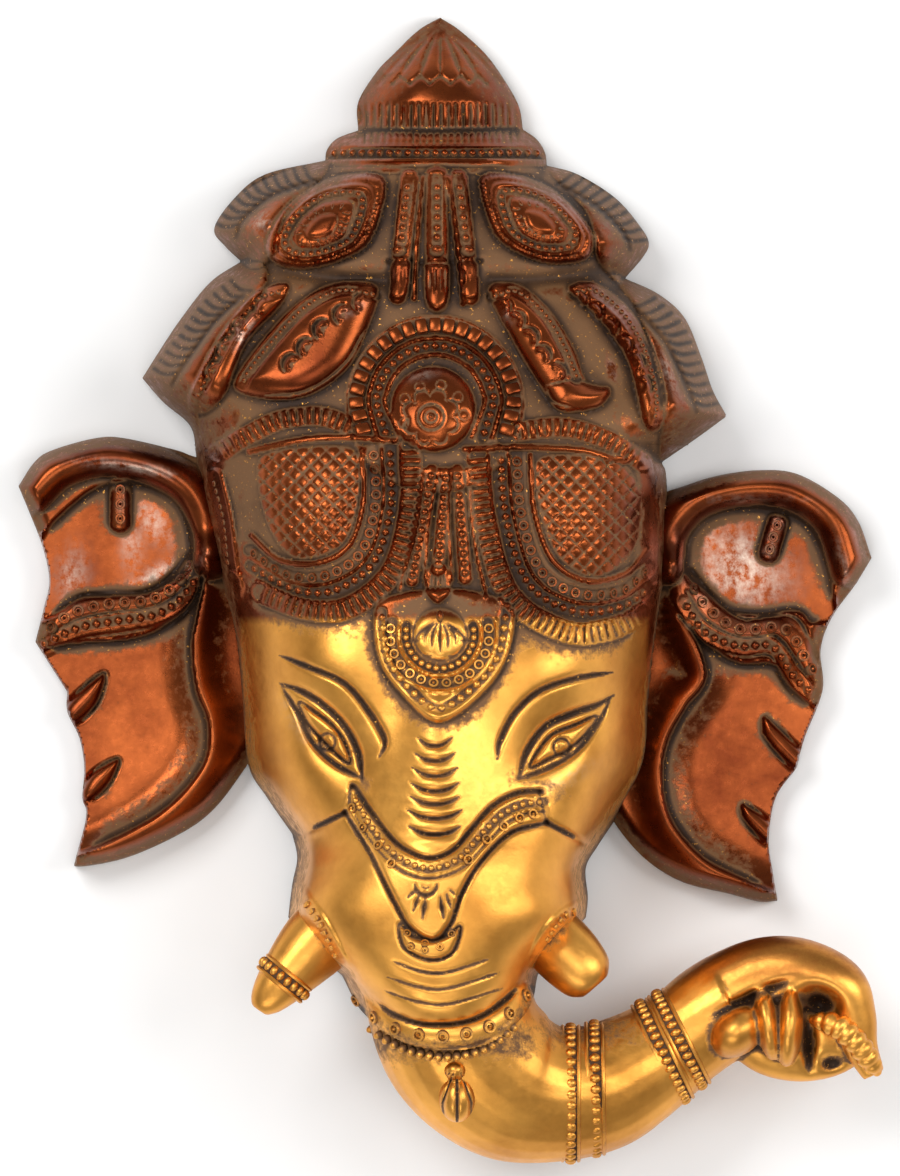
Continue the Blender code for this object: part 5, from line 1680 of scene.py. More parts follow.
@dataclass
class Ear:
    """One ear: a rolled top rim, an upper dish, a beaded chain and a sunk lower panel."""

    name: str
    outline: tuple[Path, ...]
    root: float
    rim: Path
    dish: Path
    crest: Path
    panel: Path
    rings: Path
    diamonds: Path
    chain_lines: tuple[Path, ...]
    earring: tuple[Place, Place]
    cuts: tuple
    # Painted glints on the rim and dishes
    painted_glints: tuple

    def sunk(self, x: np.ndarray, y: np.ndarray) -> np.ndarray:
        """Which points lie in the dish or the panel."""
        return inside(x, y, line_of(self.dish, closed=True)) | inside(x, y, line_of(self.panel, closed=True))

    def carve(self, sheet: HeightMap) -> None:
        """Carve the ear into its own map.

        Args:
            sheet: the ears' map.
        """
        loop = outline_of(self.outline)
        traced = sheet.trace(np.vstack([loop, loop[:1]]), 0.006)
        window = traced.window
        within = inside(sheet.x[window], sheet.y[window], loop)
        away = np.abs(sheet.x[window] - at(self.root, 0)[0])
        roll = 1 - ease(traced.distance / (16 * UNIT))
        roll[self.sunk(sheet.x[window], sheet.y[window])] = 0
        rise = EAR_RISE + EAR_LEAN * away - (EAR_RISE - EDGE) * roll
        sheet.z[window] = np.where(within, rise, sheet.z[window])
        sheet.ridge(self.rim, 40, EAR_RIM)
        sheet.spine(self.crest, ((0, 16), (0.5, 20), (1, 16)), 0.0042)
        sheet.dish(self.dish, 0.0034, 5.5, 0.85)
        sheet.dish(self.panel, 0.0048, 5, 0.85)
        for leaf in self.cuts:
            sheet.plate(leaf, 0.0030, 15, 0.9)
            sheet.groove(leaf, 3, 0.0011)
        middle = between(self.rings, self.diamonds)
        sheet.ridge(middle, 36, BAND * 0.8)
        sheet.darken_along(middle, 12, 0.42)
        sheet.channel(self.diamonds, 11, 0.0006, dirt_and_shade=0.8)
        sheet.groove(middle, 3.4, 0.0009, taper=False)
        for line in self.chain_lines:
            sheet.groove(line, 4.5, 0.0012, taper=False)
        sheet.ridge(self.earring, 22, BAND * 1.5)
        (x, top), (low_x, low) = self.earring
        sheet.darken_along(((x - 12, top), (low_x - 12, low)), 3, 0.8)
        sheet.darken_along(((x + 12, top), (low_x + 12, low)), 3, 0.8)
        # Painted highlights on the rim and dishes
        for centre, reach, amount, turn in self.painted_glints:
            sheet.paint_glint(centre, reach, amount, turn)

    def stud(self, sheet: HeightMap) -> bpy.types.Object:
        """Set the ear's rings, diamonds and earring.

        Args:
            sheet: the finished map.

        Returns:
            The piece that they make.
        """
        field = StudField(f"{self.name}_beads", sheet)
        field.row(Stud.RING, self.rings, 15.5, (13, 13, 0.0015))
        field.row(Stud.DIAMOND, self.diamonds, 11, (12, 12, 0.0016))
        (x, top), (low_x, low) = self.earring
        for share in (0.1, 0.5, 0.9):
            field.spot(Stud.RING, (x + (low_x - x) * share, top + (low - top) * share), (11, 12, 0.0014))
        return field.build()


LEFT_EAR = Ear(
    name="left_ear",
    outline=LEFT_EAR_OUTLINE,
    root=250,
    rim=((212, 560), (206, 520), (188, 486), (150, 464), (105, 457), (62, 468), (32, 494)),
    dish=((40, 534), (60, 512), (90, 488), (120, 479), (156, 486), (184, 506), (198, 540), (190, 572),
          (150, 596), (110, 598), (78, 602), (46, 622), (30, 610), (30, 560)),
    crest=((208, 552), (203, 600), (195, 644), (199, 686), (211, 722), (209, 758), (190, 790), (160, 818),
           (118, 842), (78, 858)),
    panel=((38, 652), (80, 640), (130, 636), (166, 622), (190, 600), (202, 566), (206, 580), (198, 620),
           (194, 646), (198, 688), (210, 722), (208, 758), (188, 790), (158, 817), (116, 840), (78, 856),
           (52, 852), (52, 760), (36, 700)),
    rings=((45, 632), (75, 612), (110, 604), (150, 600), (176, 585), (194, 560)),
    diamonds=((40, 646), (78, 628), (114, 621), (154, 615), (180, 600), (197, 578)),
    chain_lines=(((42, 620), (60, 612), (82, 596), (112, 596), (150, 590), (172, 574), (186, 556)),
                 ((38, 652), (80, 640), (130, 633), (160, 626), (184, 612), (200, 588))),
    earring=((120, 486), (120, 522)),
    cuts=(((64, 712), (74, 696), (104, 673), (99, 700), (82, 720), (68, 724)),
          ((82, 790), (93, 772), (118, 759), (112, 780), (98, 796), (85, 801))),
    painted_glints=(((160, 575), (34, 9), 0.9, 25), ((150, 520), (30, 14), 0.55, -40), ((72, 578), (14, 26), 0.4, 0),
            ((132, 545), (10, 26), 0.45, 0), ((130, 468), (46, 5), 0.7, -8), ((112, 832), (16, 5), 0.7, 30)),
)
RIGHT_EAR = Ear(
    name="right_ear",
    outline=RIGHT_EAR_OUTLINE,
    root=640,
    rim=((664, 566), (672, 526), (700, 498), (745, 486), (792, 490), (832, 518), (850, 568)),
    dish=((684, 576), (684, 540), (706, 514), (744, 504), (782, 508), (812, 524), (828, 556), (836, 590),
          (838, 620), (812, 626), (796, 614), (760, 618), (730, 614), (706, 596)),
    crest=((676, 566), (682, 616), (702, 674), (682, 706), (664, 740), (658, 778), (668, 822), (700, 860),
           (740, 882), (776, 897)),
    panel=((686, 618), (704, 640), (740, 660), (774, 662), (796, 690), (818, 706), (838, 720), (820, 780),
           (790, 840), (790, 886), (774, 894), (740, 880), (700, 858), (669, 820), (660, 778), (666, 740),
           (684, 706), (704, 674)),
    rings=((690, 582), (708, 608), (740, 629), (785, 629), (806, 660), (815, 676)),
    diamonds=((684, 602), (704, 632), (740, 646), (772, 646), (792, 674), (812, 694)),
    chain_lines=(((692, 570), (716, 600), (744, 618), (792, 616), (812, 644), (820, 668)),
                 ((680, 616), (704, 644), (740, 657), (770, 656), (786, 684), (810, 704)),
                 ((776, 636), (792, 654), (814, 684))),
    earring=((778, 522), (769, 552)),
    cuts=(((765, 715), (788, 737), (806, 758), (798, 772), (776, 753), (763, 735)),
          ((743, 803), (762, 815), (776, 831), (769, 845), (752, 831), (742, 817))),
    painted_glints=(((740, 570), (34, 40), 0.85, 60), ((710, 545), (14, 26), 0.5, -20),
            ((790, 520), (20, 10), 0.4, 0), ((840, 560), (5, 20), 0.7, 15), ((750, 500), (40, 4), 0.6, 0)),
)


def beaded_rings(name: str, samples: np.ndarray, lines: tuple, beads: int, half: float) -> bpy.types.Object:
    """Set rings of beads between two thin hoops round a limb.

    Args:
        name: name of the piece.
        samples: sections of the limb.
        lines: for each ring the two ends of the line that it shows from the front.
        beads: number of beads in a ring.
        half: half the ring's width in carving units.

    Returns:
        The piece that they make.
    """
    bead = model_stamp(Stud.BEAD)
    bpy.ops.object.select_all(action="DESELECT")
    bpy.ops.mesh.primitive_torus_add(major_segments=72, minor_segments=8, major_radius=1, minor_radius=1)
    hoop = take_active()
    turns = np.arctan2(hoop.corners[:, 1], hoop.corners[:, 0])
    ring = np.column_stack([np.cos(turns), np.sin(turns), np.zeros(len(turns))])
    tube = hoop.corners - ring
    corners: list[np.ndarray] = []
    faces: list[tuple[int, ...]] = []
    dirt_and_shade: list[np.ndarray] = []
    count = 0
    for top, bottom in lines:
        first, last = np.array(at(*top)), np.array(at(*bottom))
        near = samples[np.argmin(np.hypot(*(samples[:, :2] - (first + last) / 2).T))]
        across = (last - first) / math.hypot(*(last - first))
        side, up = np.array([*across, 0.0]), np.array([0.0, 0.0, 1.0])
        axis = np.array([-across[1], across[0], 0.0])
        radius = near[3]
        parts = []
        for shift, thick, wide, grime in ((-half, 2.6, 2.2, 0.25), (half, 2.6, 2.2, 0.25),
                                          (0, 1.2, half, 0.9)):
            local = ring * radius + tube * np.array([thick * UNIT, thick * UNIT, wide * UNIT])
            local[:, 2] += shift * UNIT
            parts.append((local @ np.array([side, up, axis]), hoop.faces, np.full(len(local), grime)))
        for number in range(beads):
            turn = 2 * math.pi * (number + 0.5) / beads
            out = side * math.cos(turn) + up * math.sin(turn)
            tangent = up * math.cos(turn) - side * math.sin(turn)
            local = bead.corners * np.array([0.74 * half * UNIT, 2.9 * radius / beads, 0.0011])
            parts.append((local @ np.array([axis, tangent, out]) + out * (radius + 0.0002), bead.faces,
                          np.clip(0.80 - local[:, 2] / 0.0009, 0, 1)))
        for points, shape, grime in parts:
            corners.append(points + near[:3])
            faces += [tuple(i + count for i in face) for face in shape]
            dirt_and_shade.append(grime)
            count += len(points)
    piece = new_piece(name, np.vstack(corners), faces)
    store_wear_and_light(piece, np.concatenate(dirt_and_shade), 0.05)
    smooth_shade(piece, 40)
    return piece


@dataclass
class Trunk:
    """Swept trunk with its curled tip, sweets, ribbed finger, bracelets and bud."""

    palm: tuple = ((800, 1034, 0.030), (74, 47, 0.0081))
    sweets: tuple = (
        ((736, 1030, 0.0395), (30, 24, 0.0105), 40), ((766, 1022, 0.0405), (12, 38, 0.0100), 10),
        ((788, 1026, 0.0395), (14, 40, 0.0105), -4),
    )
    finger: tuple = (
        (808, 1018, 0.42, 0.013), (834, 1024, 0.62, 0.016), (854, 1040, 0.62, 0.016),
        (868, 1058, 0.58, 0.014), (878, 1074, 0.40, 0.011),
    )
    bracelets: tuple = (
        ((570, 1028), (570, 1160)), ((594, 1022), (596, 1156)),
        ((645, 1012), (684, 1094)), ((662, 1002), (704, 1086)),
    )
    presses: tuple = (
        ((820, 1002), (17, 12), 0.010, -25), ((808, 1046), (6, 20), 0.005, 0),
        ((752, 996), (30, 5), 0.0035, 24), ((830, 1062), (12, 8), 0.003, 0),
    )
    voxel: float = 0.00066

    def build(self) -> list[bpy.types.Object]:
        """Model the trunk and everything on it.

        Returns:
            The pieces.
        """
        body = sweep("trunk", limb_samples(TRUNK_PATH, TRUNK_RADIUS, TRUNK_LIFT))
        curl = sweep("curl", limb_samples(TRUNK_CURL, TRUNK_RADIUS, TRUNK_LIFT))
        solids = [body, curl, lump("palm", *self.palm)]
        for centre, reach, turn in self.sweets:
            solids.append(lump("sweet", centre, reach, turn))
        trunk = fuse("trunk", solids, self.voxel, 5)
        self.sculpt(trunk)
        return [trunk, self.build_finger(), self.build_bracelets(), self.build_bud()]

    def sculpt(self, trunk: bpy.types.Object) -> None:
        """Press the hollows of the tip into the skin and store its dirt, painted shade and copper.

        Args:
            trunk: the fused skin.
        """
        corners = corners_of(trunk)
        column, row = units(corners[:, 0], corners[:, 1])
        upper = ease((corners[:, 2] - 0.028) / 0.008)
        darken = np.zeros(len(corners))
        for centre, reach, depth, turn in self.presses:
            press = bell(column, row, centre, reach, turn) * upper
            corners[:, 2] -= depth * press
            darken = np.maximum(darken, press)
        move_corners(trunk, corners)
        dip = hollows(trunk, 24)
        dirt_and_shade = np.clip(0.75 * darken + np.clip(dip / 0.00045, 0, 1), 0, 1)
        # Painted shade at the inner bend and at the root, where the trunk meets the head
        inner_bend_shade = np.exp(-((column - 590) / 70) ** 2 - ((row - 1030) / 22) ** 2)
        root = np.exp(-((row - 1040) / 24) ** 2) * ease((560 - column) / 40)
        dirt_and_shade = np.maximum(dirt_and_shade, 0.6 * np.maximum(inner_bend_shade, root))
        # Painted shade on the underside, low over the floor
        dirt_and_shade = np.where(corners[:, 2] < 0.018, np.maximum(dirt_and_shade, 0.35), dirt_and_shade)
        # Copper tone painted over the top of the curl as a brown painted shadow
        curl = ease((corners[:, 1] - at(0, 998)[1]) / (30 * UNIT)) * (corners[:, 0] > at(610, 0)[0])
        store_wear_and_light(trunk, dirt_and_shade, 0.06 + 0.42 * curl)
        smooth_shade(trunk)

    def build_finger(self) -> bpy.types.Object:
        """Model the ribbed finger at the trunk's tip.

        Returns:
            The piece.
        """
        samples = limb_samples(self.finger, 0.0055, 0.026, 0.0004)
        arcs = np.concatenate([[0], np.cumsum(np.hypot(*np.diff(samples[:, :2], axis=0).T))])
        share = arcs / arcs[-1]
        ribs = 0.5 + 0.5 * np.cos(2 * math.pi * 9 * share)
        samples[:, 3] *= (1 - 0.16 * (1 - ribs) ** 2) * np.sqrt(np.clip(1.02 - (2 * share - 1) ** 6, 0, 1))
        piece = sweep("finger", samples, 6)
        store_wear_and_light(piece, np.clip(0.1 + hollows(piece, 6) / 0.00012, 0, 1), 0.05)
        smooth_shade(piece)
        return piece

    def build_bracelets(self) -> bpy.types.Object:
        """Set the beaded rings round the trunk."""
        samples = limb_samples(TRUNK_PATH, TRUNK_RADIUS, TRUNK_LIFT, 0.0004)
        return beaded_rings("bracelets", samples, self.bracelets, 38, 8.0)

    def build_bud(self) -> bpy.types.Object:
        """Model the leafy bud that hangs under the garland.

        Returns:
            The piece.
        """
        lumps = [
            lump("bud", (455, 1068, 0.0615), (11, 10, 0.0042), 0),
            lump("bud", (457, 1096, 0.0585), (18, 24, 0.0062), 0),
        ]
        piece = fuse("bud", lumps, 0.00045, 2)
        corners = corners_of(piece)
        column, row = units(corners[:, 0], corners[:, 1])
        spread = (column - 457) / (0.5 * np.clip(row - 1060, 10, 40))
        veins = np.exp(-(np.mod(spread * 1.4 + 0.5, 1) - 0.5) ** 2 / 0.02) * ease((row - 1066) / 8)
        corners[:, 2] -= 0.0009 * veins * ease((corners[:, 2] - 0.058) / 0.003)
        move_corners(piece, corners)
        store_wear_and_light(piece, np.clip(0.25 + 0.5 * veins + hollows(piece, 10) / 0.0003, 0, 1), 0.25)
        smooth_shade(piece)
        return piece


@dataclass
class Tusks:
    """Pointed left tusk with a beaded band, and blunt right tusk."""

    left: tuple = (
        (342, 916, 1.04, 0.0), (314, 944, 1.0, 0.003), (284, 978, 0.74, 0.006), (267, 999, 0.50, 0.007),
        (260, 1009, 0.26, 0.007),
    )
    right: tuple = (
        (534, 918, 0.92, 0.0), (560, 946, 0.95, 0.004), (576, 963, 0.90, 0.006), (588, 977, 0.76, 0.007),
        (595, 985, 0.46, 0.007),
    )
    band: tuple[Place, Place] = ((261, 957), (304, 992))

    def build(self) -> list[bpy.types.Object]:
        """Model both tusks and the band.

        Returns:
            The pieces.
        """
        pieces = []
        for name, path in (("left_tusk", self.left), ("right_tusk", self.right)):
            samples = limb_samples(path, TUSK_RADIUS, TUSK_LIFT, 0.0005)
            tusk = fuse(name, [sweep(name, samples)], 0.0005, 8)
            corners = corners_of(tusk)
            root = np.array(at(path[0][0], path[0][1]))
            away = np.hypot(*(corners[:, :2] - root).T) / UNIT
            store_wear_and_light(tusk, 0.75 * (1 - ease((away - 20) / 26)), 0.12)
            smooth_shade(tusk)
            pieces.append(tusk)
        pieces.append(self.build_band())
        return pieces

    def build_band(self) -> bpy.types.Object:
        """Set the beaded band round the left tusk."""
        samples = limb_samples(self.left, TUSK_RADIUS, TUSK_LIFT, 0.0004)
        return beaded_rings("tusk_band", samples, (self.band,), 20, 7.5)


class NodeTree:
    """Short ways to add and join a material's nodes."""

    def __init__(self, name: str) -> None:
        """Start a material with only its shader and output."""
        self.material = bpy.data.materials.new(name)
        self.material.use_nodes = True
        self.tree = self.material.node_tree
        self.shader = self.tree.nodes["Principled BSDF"]

    def add(self, kind: str, **values: object) -> bpy.types.Node:
        """Add a node and set its properties."""
        node = self.tree.nodes.new(kind)
        for key, value in values.items():
            setattr(node, key, value)
        return node

    def link(self, start: bpy.types.NodeSocket, end: bpy.types.NodeSocket) -> None:
        """Join an output to an input."""
        self.tree.links.new(start, end)

    def attribute(self, name: str) -> bpy.types.NodeSocket:
        """Read one of the piece's own numbers."""
        return self.add("ShaderNodeAttribute", attribute_name=name).outputs["Fac"]

    def noise(self, scale: float, detail: float = 4.0, rough: float = 0.6,
              stretch: tuple[float, float, float] = (1, 1, 1)) -> bpy.types.NodeSocket:
        """Add cloudy noise over the object's own coordinates.

        Args:
            scale: clouds in each metre.
            detail: octaves.
            rough: strength of the finer octaves.
            stretch: scale along each axis.

        Returns:
            The noise, about 0 to 1.
        """
        place = self.add("ShaderNodeTexCoord")
        mapping = self.add("ShaderNodeMapping")
        mapping.inputs["Scale"].default_value = stretch
        cloud = self.add("ShaderNodeTexNoise")
        cloud.inputs["Scale"].default_value = scale
        cloud.inputs["Detail"].default_value = detail
        cloud.inputs["Roughness"].default_value = rough
        self.link(place.outputs["Object"], mapping.inputs["Vector"])
        self.link(mapping.outputs["Vector"], cloud.inputs["Vector"])
        return cloud.outputs["Fac"]

    def spread(self, value: bpy.types.NodeSocket, low: float, high: float, to_low: float = 0.0,
               to_high: float = 1.0) -> bpy.types.NodeSocket:
        """Stretch a value from one range to another, clamped.

        Args:
            value: the value.
            low: value that becomes to_low.
            high: value that becomes to_high.
            to_low: lower result.
            to_high: upper result.

        Returns:
            The stretched value.
        """
        node = self.add("ShaderNodeMapRange", clamp=True)
        for socket, number in (("From Min", low), ("From Max", high), ("To Min", to_low),
                               ("To Max", to_high)):
            node.inputs[socket].default_value = number
        self.link(value, node.inputs["Value"])
        return node.outputs["Result"]

    def sum(self, operation: str, first: object, second: object) -> bpy.types.NodeSocket:
        """Work out one step of arithmetic on sockets or numbers."""
        node = self.add("ShaderNodeMath", operation=operation)
        for index, value in enumerate((first, second)):
            if isinstance(value, (int, float)):
                node.inputs[index].default_value = value
            else:
                self.link(value, node.inputs[index])
        return node.outputs[0]

    def mix(self, share: bpy.types.NodeSocket, first: object, second: object) -> bpy.types.NodeSocket:
        """Mix two colours, each a socket or a plain colour.

        Args:
            share: how much of the second shows.
            first: first colour.
            second: second colour.

        Returns:
            The mixed colour.
        """
        node = self.add("ShaderNodeMix", data_type="RGBA")
        self.link(share, node.inputs[0])
        for index, value in ((6, first), (7, second)):
            if isinstance(value, tuple):
                node.inputs[index].default_value = (*value, 1)
            else:
                self.link(value, node.inputs[index])
        return node.outputs[2]


@dataclass(frozen=True)
class AgedBrass:
    """Polished gold and copper lacquer with brown patina in the hollows, painted shade and pale painted
    glints.
    """

    gold: tuple[float, float, float] = (0.88, 0.42, 0.082)
    deep_gold: tuple[float, float, float] = (0.54, 0.225, 0.038)
    copper: tuple[float, float, float] = (0.30, 0.070, 0.018)
    deep_copper: tuple[float, float, float] = (0.125, 0.025, 0.008)
    patina: tuple[float, float, float] = (0.165, 0.080, 0.033)
    soot: tuple[float, float, float] = (0.030, 0.014, 0.007)
    # Colour of the painted glints
    pale: tuple[float, float, float] = (0.60, 0.50, 0.41)

    def make(self, name: str) -> bpy.types.Material:
        """Build the finish.

        Args:
            name: name of the material.

        Returns:
            The material.
        """
        tree = NodeTree(name)
        dirt_and_shade = tree.attribute("dirt_and_shade")
        copper = tree.attribute("copper")
        painted_glint = tree.attribute("painted_glint")
        clouds = tree.noise(38, 5)
        fine = tree.noise(420, 4, 0.7)
        grain = tree.noise(1500, 2)
        gold = tree.mix(tree.spread(clouds, 0.35, 0.7), self.gold, self.deep_gold)
        red = tree.mix(tree.spread(clouds, 0.35, 0.65), self.copper, self.deep_copper)
        metal = tree.mix(tree.spread(tree.sum("ADD", copper, tree.sum("MULTIPLY", tree.spread(
            fine, 0.3, 0.7, -0.14, 0.14), copper)), 0.2, 0.7), gold, red)
        brushed = tree.noise(260, 6, 0.75, (0.8, 0.4, 1))
        # Painted glints turn the metal pale
        shine = tree.sum("MULTIPLY", painted_glint, tree.spread(tree.sum("ADD", brushed, fine), 0.85, 1.25))
        metal = tree.mix(shine, metal, self.pale)
        # Patina and painted shade alike take the patina and soot colours
        mottled = tree.sum("ADD", dirt_and_shade, tree.spread(fine, 0.3, 0.7, -0.22, 0.22))
        cover = tree.spread(mottled, 0.28, 0.62)
        depth = tree.spread(tree.sum("ADD", dirt_and_shade, tree.spread(clouds, 0.3, 0.7, -0.1, 0.1)), 0.72, 1.0)
        grime = tree.mix(depth, self.patina, self.soot)
        specks = tree.spread(tree.noise(1100, 3, 0.65), 0.62, 0.70)
        metal = tree.mix(tree.sum("MULTIPLY", specks, cover), metal, self.gold)
        cover = tree.sum("MULTIPLY", cover, tree.sum("SUBTRACT", 1.0, tree.sum("MULTIPLY", specks, 0.75)))
        tree.link(tree.mix(cover, metal, grime), tree.shader.inputs["Base Color"])
        tree.link(tree.sum("SUBTRACT", 1.0, tree.sum("MULTIPLY", cover, 0.75)),
                  tree.shader.inputs["Metallic"])
        satin = tree.spread(fine, 0.3, 0.75, 0.34, 0.46)
        polished = tree.sum("SUBTRACT", satin, tree.sum("MULTIPLY", copper, 0.10))
        rough = tree.add("ShaderNodeMix", data_type="FLOAT")
        tree.link(cover, rough.inputs[0])
        tree.link(polished, rough.inputs[2])
        rough.inputs[3].default_value = 0.62
        tree.shader.inputs["Specular IOR Level"].default_value = 0.28
        tree.link(rough.outputs[0], tree.shader.inputs["Roughness"])
        bump = tree.add("ShaderNodeBump")
        bump.inputs["Strength"].default_value = 0.35
        bump.inputs["Distance"].default_value = 0.00025
        height = tree.sum("ADD", tree.sum("MULTIPLY", fine, tree.spread(cover, 0, 1, 0.25, 1.0)),
                          tree.sum("MULTIPLY", grain, 0.25))
        tree.link(height, bump.inputs["Height"])
        tree.link(bump.outputs["Normal"], tree.shader.inputs["Normal"])
        return tree.material


@dataclass(frozen=True)
class PaleFloor:
    """Matte white floor with the faintest mottling."""

    light: tuple[float, float, float] = (0.90, 0.90, 0.90)
    dark: tuple[float, float, float] = (0.86, 0.86, 0.855)

    def make(self, name: str) -> bpy.types.Material:
        """Build the finish.

        Args:
            name: name of the material.

        Returns:
            The material.
        """
        tree = NodeTree(name)
        colour = tree.mix(tree.spread(tree.noise(9, 4), 0.35, 0.65), self.light, self.dark)
        tree.link(colour, tree.shader.inputs["Base Color"])
        tree.link(tree.spread(tree.noise(60, 3), 0.3, 0.7, 0.72, 0.86), tree.shader.inputs["Roughness"])
        return tree.material


@dataclass
class Studio:
    """Floor, soft lights and the camera that looks straight down."""

    frame_size: tuple[int, int] = (900, 1176)
    view_middle: Place = (450, 588)
    distance: float = 9.0
    sharp_height: float = 0.015
    floor_size: float = 6.0
    world: float = 0.38
    lights: tuple = (
        ("key", (-0.60, 0.50, 1.10), (0.7, 0.6), 10.0),
        ("fill", (0.80, 0.15, 0.75), (0.35, 0.9), 5.5),
        ("overhead", (0.05, -0.15, 1.5), (0.6, 0.6), 4.0),
        ("low", (-0.25, -0.85, 0.75), (0.8, 0.3), 2.6),
    )

    def build(self) -> None:
        """Set up the floor, lights, world and camera."""
        bpy.ops.object.select_all(action="DESELECT")
        bpy.ops.mesh.primitive_plane_add(size=self.floor_size, location=(0, 0, -0.0005))
        floor = bpy.context.active_object
        floor.name = "floor"
        bpy.ops.object.transform_apply(location=True, rotation=True, scale=True)
        floor.data.materials.append(PaleFloor().make("pale_floor"))
        for name, place, size, power in self.lights:
            light = bpy.data.lights.new(name, "AREA")
            light.shape = "RECTANGLE"
            light.size, light.size_y = size
            light.energy = power
            lamp = bpy.data.objects.new(name, light)
            lamp.location = place
            aim = Vector((0, 0, 0.03)) - lamp.location
            lamp.rotation_euler = aim.to_track_quat("-Z", "Y").to_euler()
            bpy.context.scene.collection.objects.link(lamp)
        world = bpy.data.worlds.new("soft_sky")
        world.use_nodes = True
        sky = world.node_tree.nodes["Background"]
        sky.inputs["Color"].default_value = (1, 1, 1, 1)
        sky.inputs["Strength"].default_value = self.world
        bpy.context.scene.world = world
        bpy.context.scene.view_settings.view_transform = "Standard"
        self.build_camera()

    def build_camera(self) -> None:
        """Hang the camera over the mask, framed as the photograph is."""
        data = bpy.data.cameras.new("camera")
        data.sensor_fit = "VERTICAL"
        data.sensor_height = 24
        data.lens = data.sensor_height * (self.distance - self.sharp_height) / (self.frame_size[1] * UNIT)
        camera = bpy.data.objects.new("camera", data)
        camera.location = (*at(*self.view_middle), self.distance)
        bpy.context.scene.collection.objects.link(camera)
        bpy.context.scene.camera = camera


def half_round(sheet: HeightMap) -> np.ndarray:
    """Heights of the turned finial and collar above the back plane."""
    left, right = (blend_rows(sheet.row, FINIAL_ROWS, column) for column in (1, 2))
    widest = max(last - first for _, first, last in FINIAL_ROWS) / 2
    half = (right - left) / 2
    across = np.clip(np.abs(sheet.column - (left + right) / 2) / half, 0, 1)
    rise = EDGE + (FINIAL_RISE - EDGE) * half / widest * np.sqrt(1 - across ** 2)
    return np.where(sheet.row < FINIAL_ROWS[-1][0], rise, 0)


def head_rise(sheet: HeightMap) -> np.ndarray:
    """Heights of the plain head and crown, before any carving."""
    left, right, share, power = (blend_rows(sheet.row, HEAD_ROWS, column) for column in (1, 2, 3, 4))
    top = np.where(share < 0.8, CROWN_RISE / 0.8 * share,
                   CROWN_RISE + (FACE_RISE - CROWN_RISE) * (share - 0.8) / 0.2)
    across = np.clip(np.abs(sheet.column - (left + right) / 2) / ((right - left) / 2), 0, 1)
    rise = EDGE + (top - EDGE) * (1 - across ** power) ** (1 / power)
    return np.where(sheet.row > HEAD_ROWS[0][0], rise, 0)


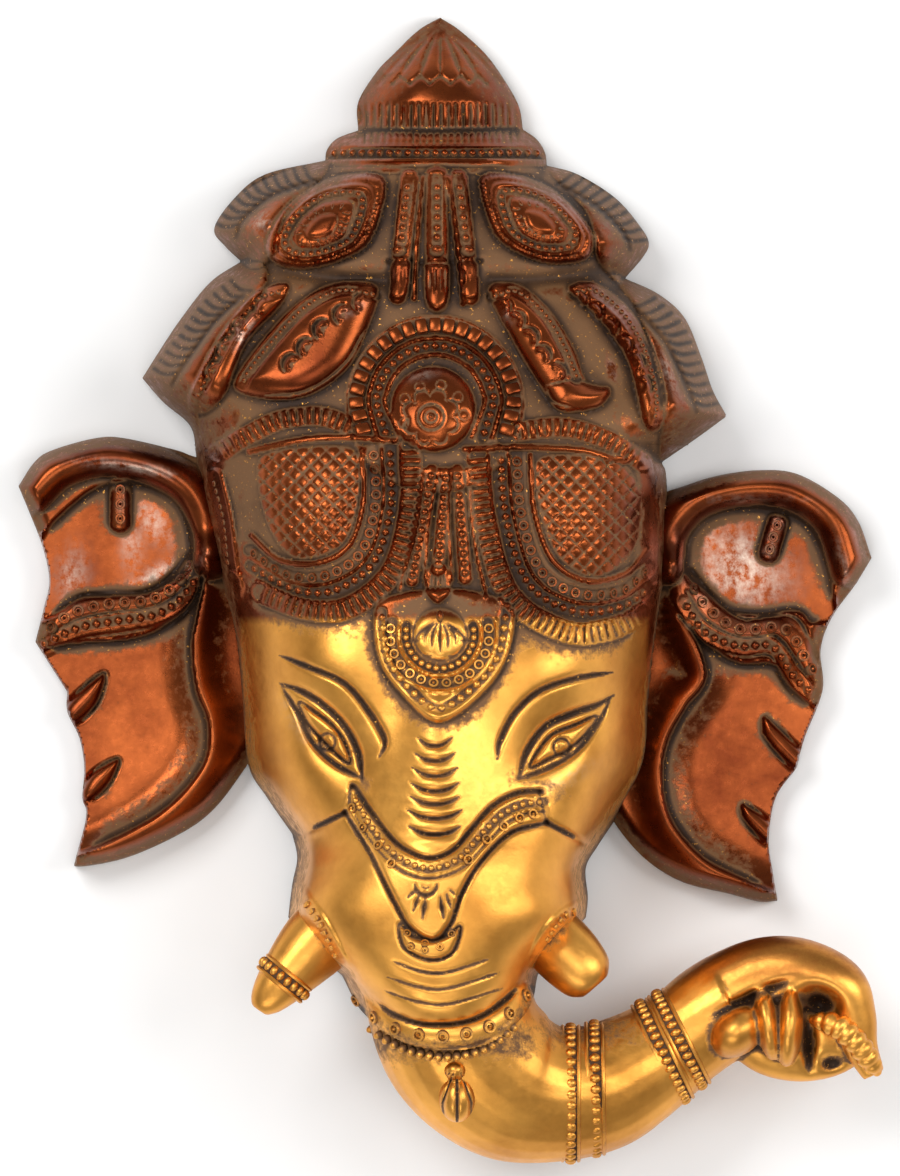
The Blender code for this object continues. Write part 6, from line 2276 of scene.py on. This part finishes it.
@dataclass
class Head:
    """Map of the crown, diadem and face, and the shells cut from it."""

    copper_row: float = 606
    finial_end: float = 150
    copper_fade: float = 26
    shadows: tuple = (
        (((262, 600), (312, 616), (346, 612), (392, 590)), 20, 0.62),
        (((526, 632), (568, 643), (612, 640), (650, 626)), 18, 0.62),
        (((374, 620), (380, 662), (402, 696), (438, 724), (480, 698), (507, 656), (514, 620)), 11, 0.6),
        (((245, 610), (244, 700), (250, 764)), 12, 0.55),
        (((652, 620), (650, 700), (646, 776)), 16, 0.6),
        (((646, 776), (616, 822), (590, 862)), 14, 0.5),
        (((292, 880), (290, 916)), 8, 0.5),
    )

    def carve(self, parts: tuple) -> HeightMap:
        """Work out the head's map.

        Args:
            parts: sub-assemblies that carve it, in order.

        Returns:
            The finished map.
        """
        sheet = HeightMap()
        sheet.z = np.maximum(half_round(sheet), head_rise(sheet))
        face = ease((sheet.row - self.copper_row) / self.copper_fade)
        sides = 1 - ease((np.minimum(sheet.column - 236, 652 - sheet.column)) / 10)
        low_sides = ease((sheet.row - 590) / 12) * ease((790 - sheet.row) / 20) * sides
        sheet.copper = np.maximum(1 - face, 0.8 * low_sides)
        sheet.dirt_and_shade = 0.74 * np.maximum(1 - face, low_sides)
        for part in parts:
            part.carve(sheet)
        self.shade(sheet)
        self.round_off(sheet)
        return sheet

    def shade(self, sheet: HeightMap) -> None:
        """Leave the brown shadows where the gold face meets the crown and the ears."""
        for path, width, amount in self.shadows:
            sheet.darken_along(path, width, amount)

    def round_off(self, sheet: HeightMap) -> None:
        """Round the heights down towards the outline."""
        outline = outline_of(HEAD_OUTLINE)
        traced = sheet.trace(np.vstack([outline, outline[:1]]), CROWN_ROLL)
        window = traced.window
        in_crown = ease((CROWN_END - sheet.row[window]) / CROWN_FADE)
        roll = FACE_ROLL + (CROWN_ROLL - FACE_ROLL) * in_crown
        rounding = np.sqrt(1 - (1 - np.clip(traced.distance / roll, 0, 1)) ** 2)
        sheet.z[window] = EDGE + (sheet.z[window] - EDGE) * rounding
        sheet.z = np.where(inside(sheet.x, sheet.y, outline), sheet.z, 0)

    def brown(self, sheet: HeightMap) -> None:
        """Paint brown shade on the rounded edges along the outline, where they turn away from the light.

        Args:
            sheet: the head's weathered map.
        """
        outline = outline_of(HEAD_OUTLINE)
        in_crown = ease((CROWN_END - sheet.row) / CROWN_FADE)
        in_lobes = ease((sheet.row - self.finial_end) / 20)
        sheet.brown_edge(outline, CROWN_ROLL, (0.30 + 0.26 * in_lobes) * in_crown)
        sheet.brown_edge(outline, FACE_ROLL, np.full(sheet.z.shape, 0.45))

    def shells(self, sheet: HeightMap) -> list[bpy.types.Object]:
        """Cut the crown, diadem and face from the map."""
        loop = outline_of(HEAD_OUTLINE)
        return [
            Shell("crown", sheet, loop, 0, 445).build(),
            Shell("diadem", sheet, loop, 439, 592, 6).build(),
            Shell("face", sheet, loop, 586, SPAN, 6).build(),
        ]


def finish_piece(piece: bpy.types.Object, brass: bpy.types.Material) -> None:
    """Give a piece its finish and tie it to the frame.

    Args:
        piece: the piece.
        brass: its finish.
    """
    piece.data.materials.clear()
    piece.data.materials.append(brass)
    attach(piece, "root")
    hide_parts(NODE)
    triangles = sum(len(face.vertices) - 2 for face in piece.data.polygons)
    low, high = corners_of(piece).min(axis=0), corners_of(piece).max(axis=0)
    log.info("%s: done, %d triangles, from %s to %s mm", piece.name, triangles,
             np.round(low * 1000, 2), np.round(high * 1000, 2))


def main() -> None:
    """Build every sub-assembly, dress it and set up the studio."""
    crown, diadem, pendant, face = Crown(), Diadem(), Pendant(), Face()
    head = Head()
    front = head.carve((crown, diadem, pendant, face))
    crown.carve_lobes(front)
    face.carve_muzzle(front)
    front.weather()
    head.brown(front)
    crown.line_lobes(front)
    front.line_inside()
    pieces = head.shells(front)
    pieces += [part.stud(front) for part in (crown, diadem, pendant, face)]
    for ear in (LEFT_EAR, RIGHT_EAR):
        sheet = HeightMap()
        sheet.copper += 0.9
        sheet.dirt_and_shade += 0.1
        ear.carve(sheet)
        sheet.weather()
        loop = outline_of(ear.outline)
        # Painted brown shade on the ear's rounded outer edge
        sheet.brown_edge(loop, 0.004, np.where(ear.sunk(sheet.x, sheet.y), 0, 0.6))
        sheet.line_inside()
        pieces.append(Shell(ear.name, sheet, loop, 0, SPAN).build())
        pieces.append(ear.stud(sheet))
    pieces += Trunk().build()
    pieces += Tusks().build()
    brass = AgedBrass().make(SLOT)
    for piece in pieces:
        finish_piece(piece, brass)
    Studio().build()


if __name__ == "__main__":
    main()
